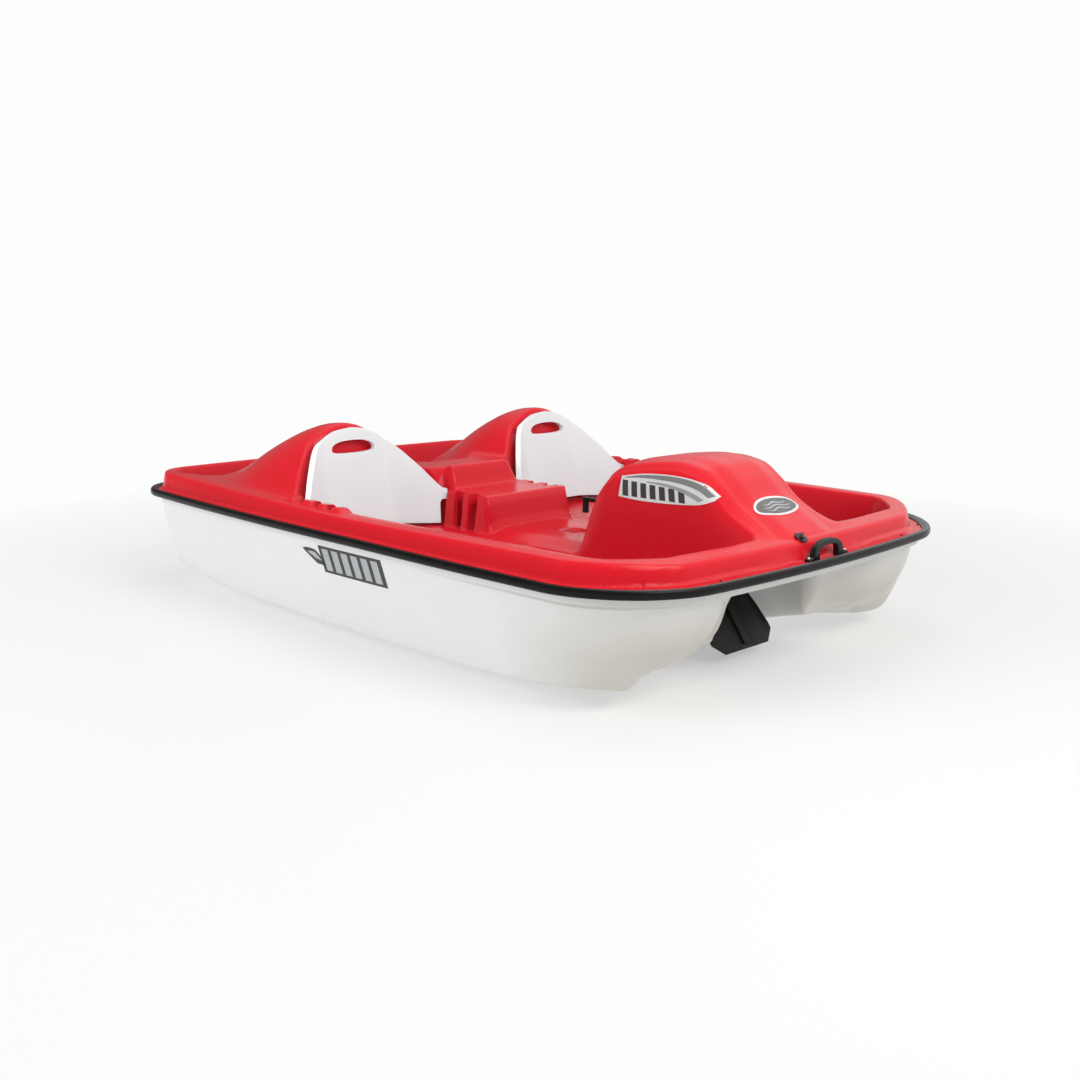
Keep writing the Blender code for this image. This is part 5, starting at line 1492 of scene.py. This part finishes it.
def brush(x0, x1, z0, z1, sag, wide, peak):
    """A band tapered to both ends and widest at peak."""
    def edge(sign, t):
        z = z0 + (z1 - z0) * t + sag * 4 * t * (1 - t)
        swell = (t / peak) ** 0.7 if t < peak else ((1 - t) / (1 - peak)) ** 0.9
        return x0 + (x1 - x0) * t, z + sign * wide * 0.5 * swell
    return both_edges(edge)


def ellipse(x, y, half_x, half_y):
    def edge(sign, t):
        cos = math.cos(math.pi * (1 - t))
        return x + half_x * sign * math.sqrt(max(0.0, 1 - cos * cos)), y + half_y * cos
    return both_edges(edge)


def flag(x0, x1, z0, z1, lean):
    """A bar whose upper edge is shifted along by lean."""
    return ((lambda t: (x0 + (x1 - x0) * t, z0)),
            (lambda t: (x0 + lean + (x1 - x0) * t, z1)))


def through(*points):
    """A smooth curve through a few points, as a function of 0..1."""
    knots = np.array(points, float)
    knots = np.vstack([2 * knots[0] - knots[1], knots, 2 * knots[-1] - knots[-2]])
    count = len(points) - 1

    def at(t):
        place = min(max(t, 0.0), 1.0) * count
        i = min(int(place), count - 1)
        f = place - i
        a, b, c, d = knots[i:i + 4]
        return tuple(0.5 * (2 * b + (c - a) * f + (2 * a - 5 * b + 4 * c - d) * f * f
                            + (3 * b - a - 3 * c + d) * f ** 3))
    return at


# a swoosh of three bands over a row of slanted bars, on the starboard side of the hump;
# each band is its lower and upper edge as (x, z), its ink and its layer
SWOOSH = [
    (((0.590, 0.450), (0.682, 0.447), (0.792, 0.451), (0.880, 0.459), (0.926, 0.474)),
     ((0.592, 0.508), (0.682, 0.523), (0.792, 0.528), (0.880, 0.517), (0.934, 0.486)),
     "white", 0),
    (((0.606, 0.5045), (0.690, 0.511), (0.792, 0.510), (0.864, 0.499), (0.906, 0.480)),
     ((0.604, 0.5065), (0.682, 0.5195), (0.792, 0.5245), (0.874, 0.5135), (0.925, 0.486)),
     "slate", 1),
    (((0.690, 0.4995), (0.750, 0.4965), (0.800, 0.489), (0.846, 0.478), (0.878, 0.4655)),
     ((0.690, 0.5030), (0.750, 0.5035), (0.806, 0.4985), (0.856, 0.4875), (0.894, 0.4735)),
     "silver", 1)]
for k, (low, high, colour, layer) in enumerate(SWOOSH):
    sticker(f"hump_swoosh_{k + 1}", on_hump, [(through(*low), through(*high))], colour, layer)
bars = [flag(0.606 + 0.0345 * k, 0.6275 + 0.0345 * k, 0.4545 + 0.0005 * k, 0.4985 - 0.0013 * k,
             lean=-0.008) for k in range(7)]
sticker("hump_bars", on_hump, bars, "black", 1, steps=16)

# a dark plate with slanted bars and a tapering tail, on the starboard side of the hull
sticker("side_plate_1", on_side, [flag(-0.030, 0.266, 0.2160, 0.2960, lean=-0.016)], "black", 0)
bars = [flag(-0.016 + 0.0465 * k, 0.0140 + 0.0465 * k, 0.2240, 0.2880, lean=-0.0130)
        for k in range(6)]
sticker("side_bars", on_side, bars, "silver", 1, steps=16, strips=8)
sticker("side_tail_1", on_side,
        [brush(-0.128, -0.010, 0.276, 0.236, sag=0.004, wide=0.042, peak=0.55)], "black", 0)
sticker("side_tail_2", on_side,
        [brush(-0.104, -0.036, 0.269, 0.249, sag=0.004, wide=0.018, peak=0.55)], "silver", 1)

# an oval badge with three waves, on the slope ahead of the hump
BADGE_X, BADGE_Y = 1.009, -0.006
sticker("ramp_badge_rim", on_deck, [ellipse(BADGE_X, BADGE_Y, 0.0330, 0.095)], "white", 0)
sticker("ramp_badge_field", on_deck, [ellipse(BADGE_X, BADGE_Y, 0.0265, 0.086)], "grey", 1)


def wave(shift, half_span):
    def edge(sign, t):
        half = 0.0021 * math.sin(math.pi * t) ** 0.5 if 0.0 < t < 1.0 else 0.0
        return (BADGE_X + shift + 0.0034 * math.sin(2 * math.pi * 1.5 * t) + sign * half,
                BADGE_Y - half_span + 2 * half_span * t)
    return both_edges(edge)


waves = [wave(-0.0105, 0.050), wave(0.0, 0.062), wave(0.0105, 0.050)]
sticker("ramp_badge_waves", on_deck, waves, "silver", 2, steps=60, strips=2)

# ------------------------------------------------------------------ floor and world
STUDIO_WHITE = (0.985, 0.985, 0.98)
FLOOR_HALF, FLOOR_Z = 30, -0.0006


def backdrop():
    """Pale floor that fades into the white surround with distance."""
    mat = Shader("studio_floor")
    tint = mat.mix(mat.drift(scale=0.8, detail=4.0), (0.90, 0.90, 0.895), (0.88, 0.88, 0.877))
    normal = mat.bump(mat.noise(scale=240.0, detail=3.0), distance=0.0001, strength=0.3)
    mat.set(colour=tint, rough=0.75, spec=0.1, normal=normal)
    distance = mat.add("ShaderNodeVectorMath", operation="LENGTH")
    mat.put(mat.place, distance.inputs[0])
    fade = mat.span(distance.outputs["Value"], (1.3, 3.2), (0.42, 1.0))
    glow = mat.add("ShaderNodeEmission")
    mat.put(STUDIO_WHITE, glow.inputs["Color"])
    mixed = mat.blend(fade, mat.principled.outputs["BSDF"], glow.outputs["Emission"])
    mat.put(mixed, mat.surface)
    return mat.material


corners = [(x * FLOOR_HALF, y * FLOOR_HALF, FLOOR_Z)
           for x, y in ((-1, -1), (1, -1), (1, 1), (-1, 1))]
floor = add_object("studio_floor", mesh_of(corners, [(0, 1, 2, 3)]))
paint(floor, backdrop())


def studio_world(light=0.50, gloss_range=(0.22, 1.60)):
    """White to the camera, a soft sky as light; glossy rays see it bright overhead and toward
    the stern's port side of the sky, dim toward the viewer's side."""
    world = bpy.data.worlds.new("studio")
    bpy.context.scene.world = world
    nodes = Nodes(world, "World", "Generated")

    def background(colour, strength):
        node = nodes.add("ShaderNodeBackground")
        nodes.put(colour, node.inputs["Color"])
        nodes.put(strength, node.inputs["Strength"])
        return node.outputs["Background"]

    height = nodes.span(nodes.axis("Z"), (-1.0, 1.0))
    sky = nodes.ramp(height, (0.46, (0.80, 0.79, 0.77)), (1.0, WHITE))
    bright_side = nodes.add("ShaderNodeVectorMath", operation="DOT_PRODUCT")
    nodes.put(nodes.place, bright_side.inputs[0])
    nodes.put((0.25, 0.55, 0.80), bright_side.inputs[1])
    shine = nodes.span(bright_side.outputs["Value"], (0.28, 0.88), gloss_range)
    rays = nodes.add("ShaderNodeLightPath").outputs
    lit = nodes.blend(rays["Is Glossy Ray"], background(sky, light),
                      background((1.0, 0.99, 0.985), shine))
    seen = nodes.blend(rays["Is Camera Ray"], lit, background(STUDIO_WHITE, 1.0))
    nodes.put(seen, nodes.surface)


studio_world()

# ------------------------------------------------------------------ lights and camera
# name, place, aimed at, (width, height), watts, colour
LIGHTS = [("key", (-1.6, -4.8, 2.5), (0.0, -0.3, 0.25), (3.4, 2.4), 105.0, (1.0, 1.0, 1.0)),
          ("front", (3.9, -0.5, 3.1), (0.4, 0.0, 0.3), (2.6, 2.0), 98.0, (1.0, 0.985, 0.965)),
          ("top", (0.2, 0.3, 3.8), (0.1, 0.0, 0.3), (3.6, 2.6), 22.0, (1.0, 1.0, 1.0))]
for name, at, toward, size, power, colour in LIGHTS:
    light = bpy.data.lights.new(name, "AREA")
    light.shape = "RECTANGLE"
    light.size, light.size_y = size
    light.energy = power
    light.color = colour
    softbox = add_object(name, light)
    softbox.location = at
    softbox.rotation_mode = "QUATERNION"
    softbox.rotation_quaternion = (Vector(toward) - Vector(at)).to_track_quat("-Z", "Y")
    softbox.visible_glossy = name != "key"

# the camera looks at TARGET from starboard of the bow
AZIMUTH, ELEVATION, ROLL = math.radians(45.64), math.radians(11.17), math.radians(0.259)
TARGET, DISTANCE = Vector((0.178, -0.094, 0.25)), 3.832
SENSOR_MM, LENS_MM = 36.0, 39.9866667
back = Vector((math.sin(AZIMUTH) * math.cos(ELEVATION), -math.cos(AZIMUTH) * math.cos(ELEVATION),
               math.sin(ELEVATION)))
right = (-back).cross(Vector(UP)).normalized()
up = right.cross(-back).normalized()
right, up = (right * math.cos(ROLL) + up * math.sin(ROLL),
             -right * math.sin(ROLL) + up * math.cos(ROLL))
camera = add_object("camera", bpy.data.cameras.new("camera"))
camera.data.sensor_width = SENSOR_MM
camera.data.lens = LENS_MM
camera.rotation_mode = "QUATERNION"
camera.location = TARGET + back * DISTANCE
camera.rotation_quaternion = Matrix((right, up, back)).transposed().to_quaternion()
bpy.context.scene.camera = camera
bpy.context.scene.view_settings.view_transform = "Standard"
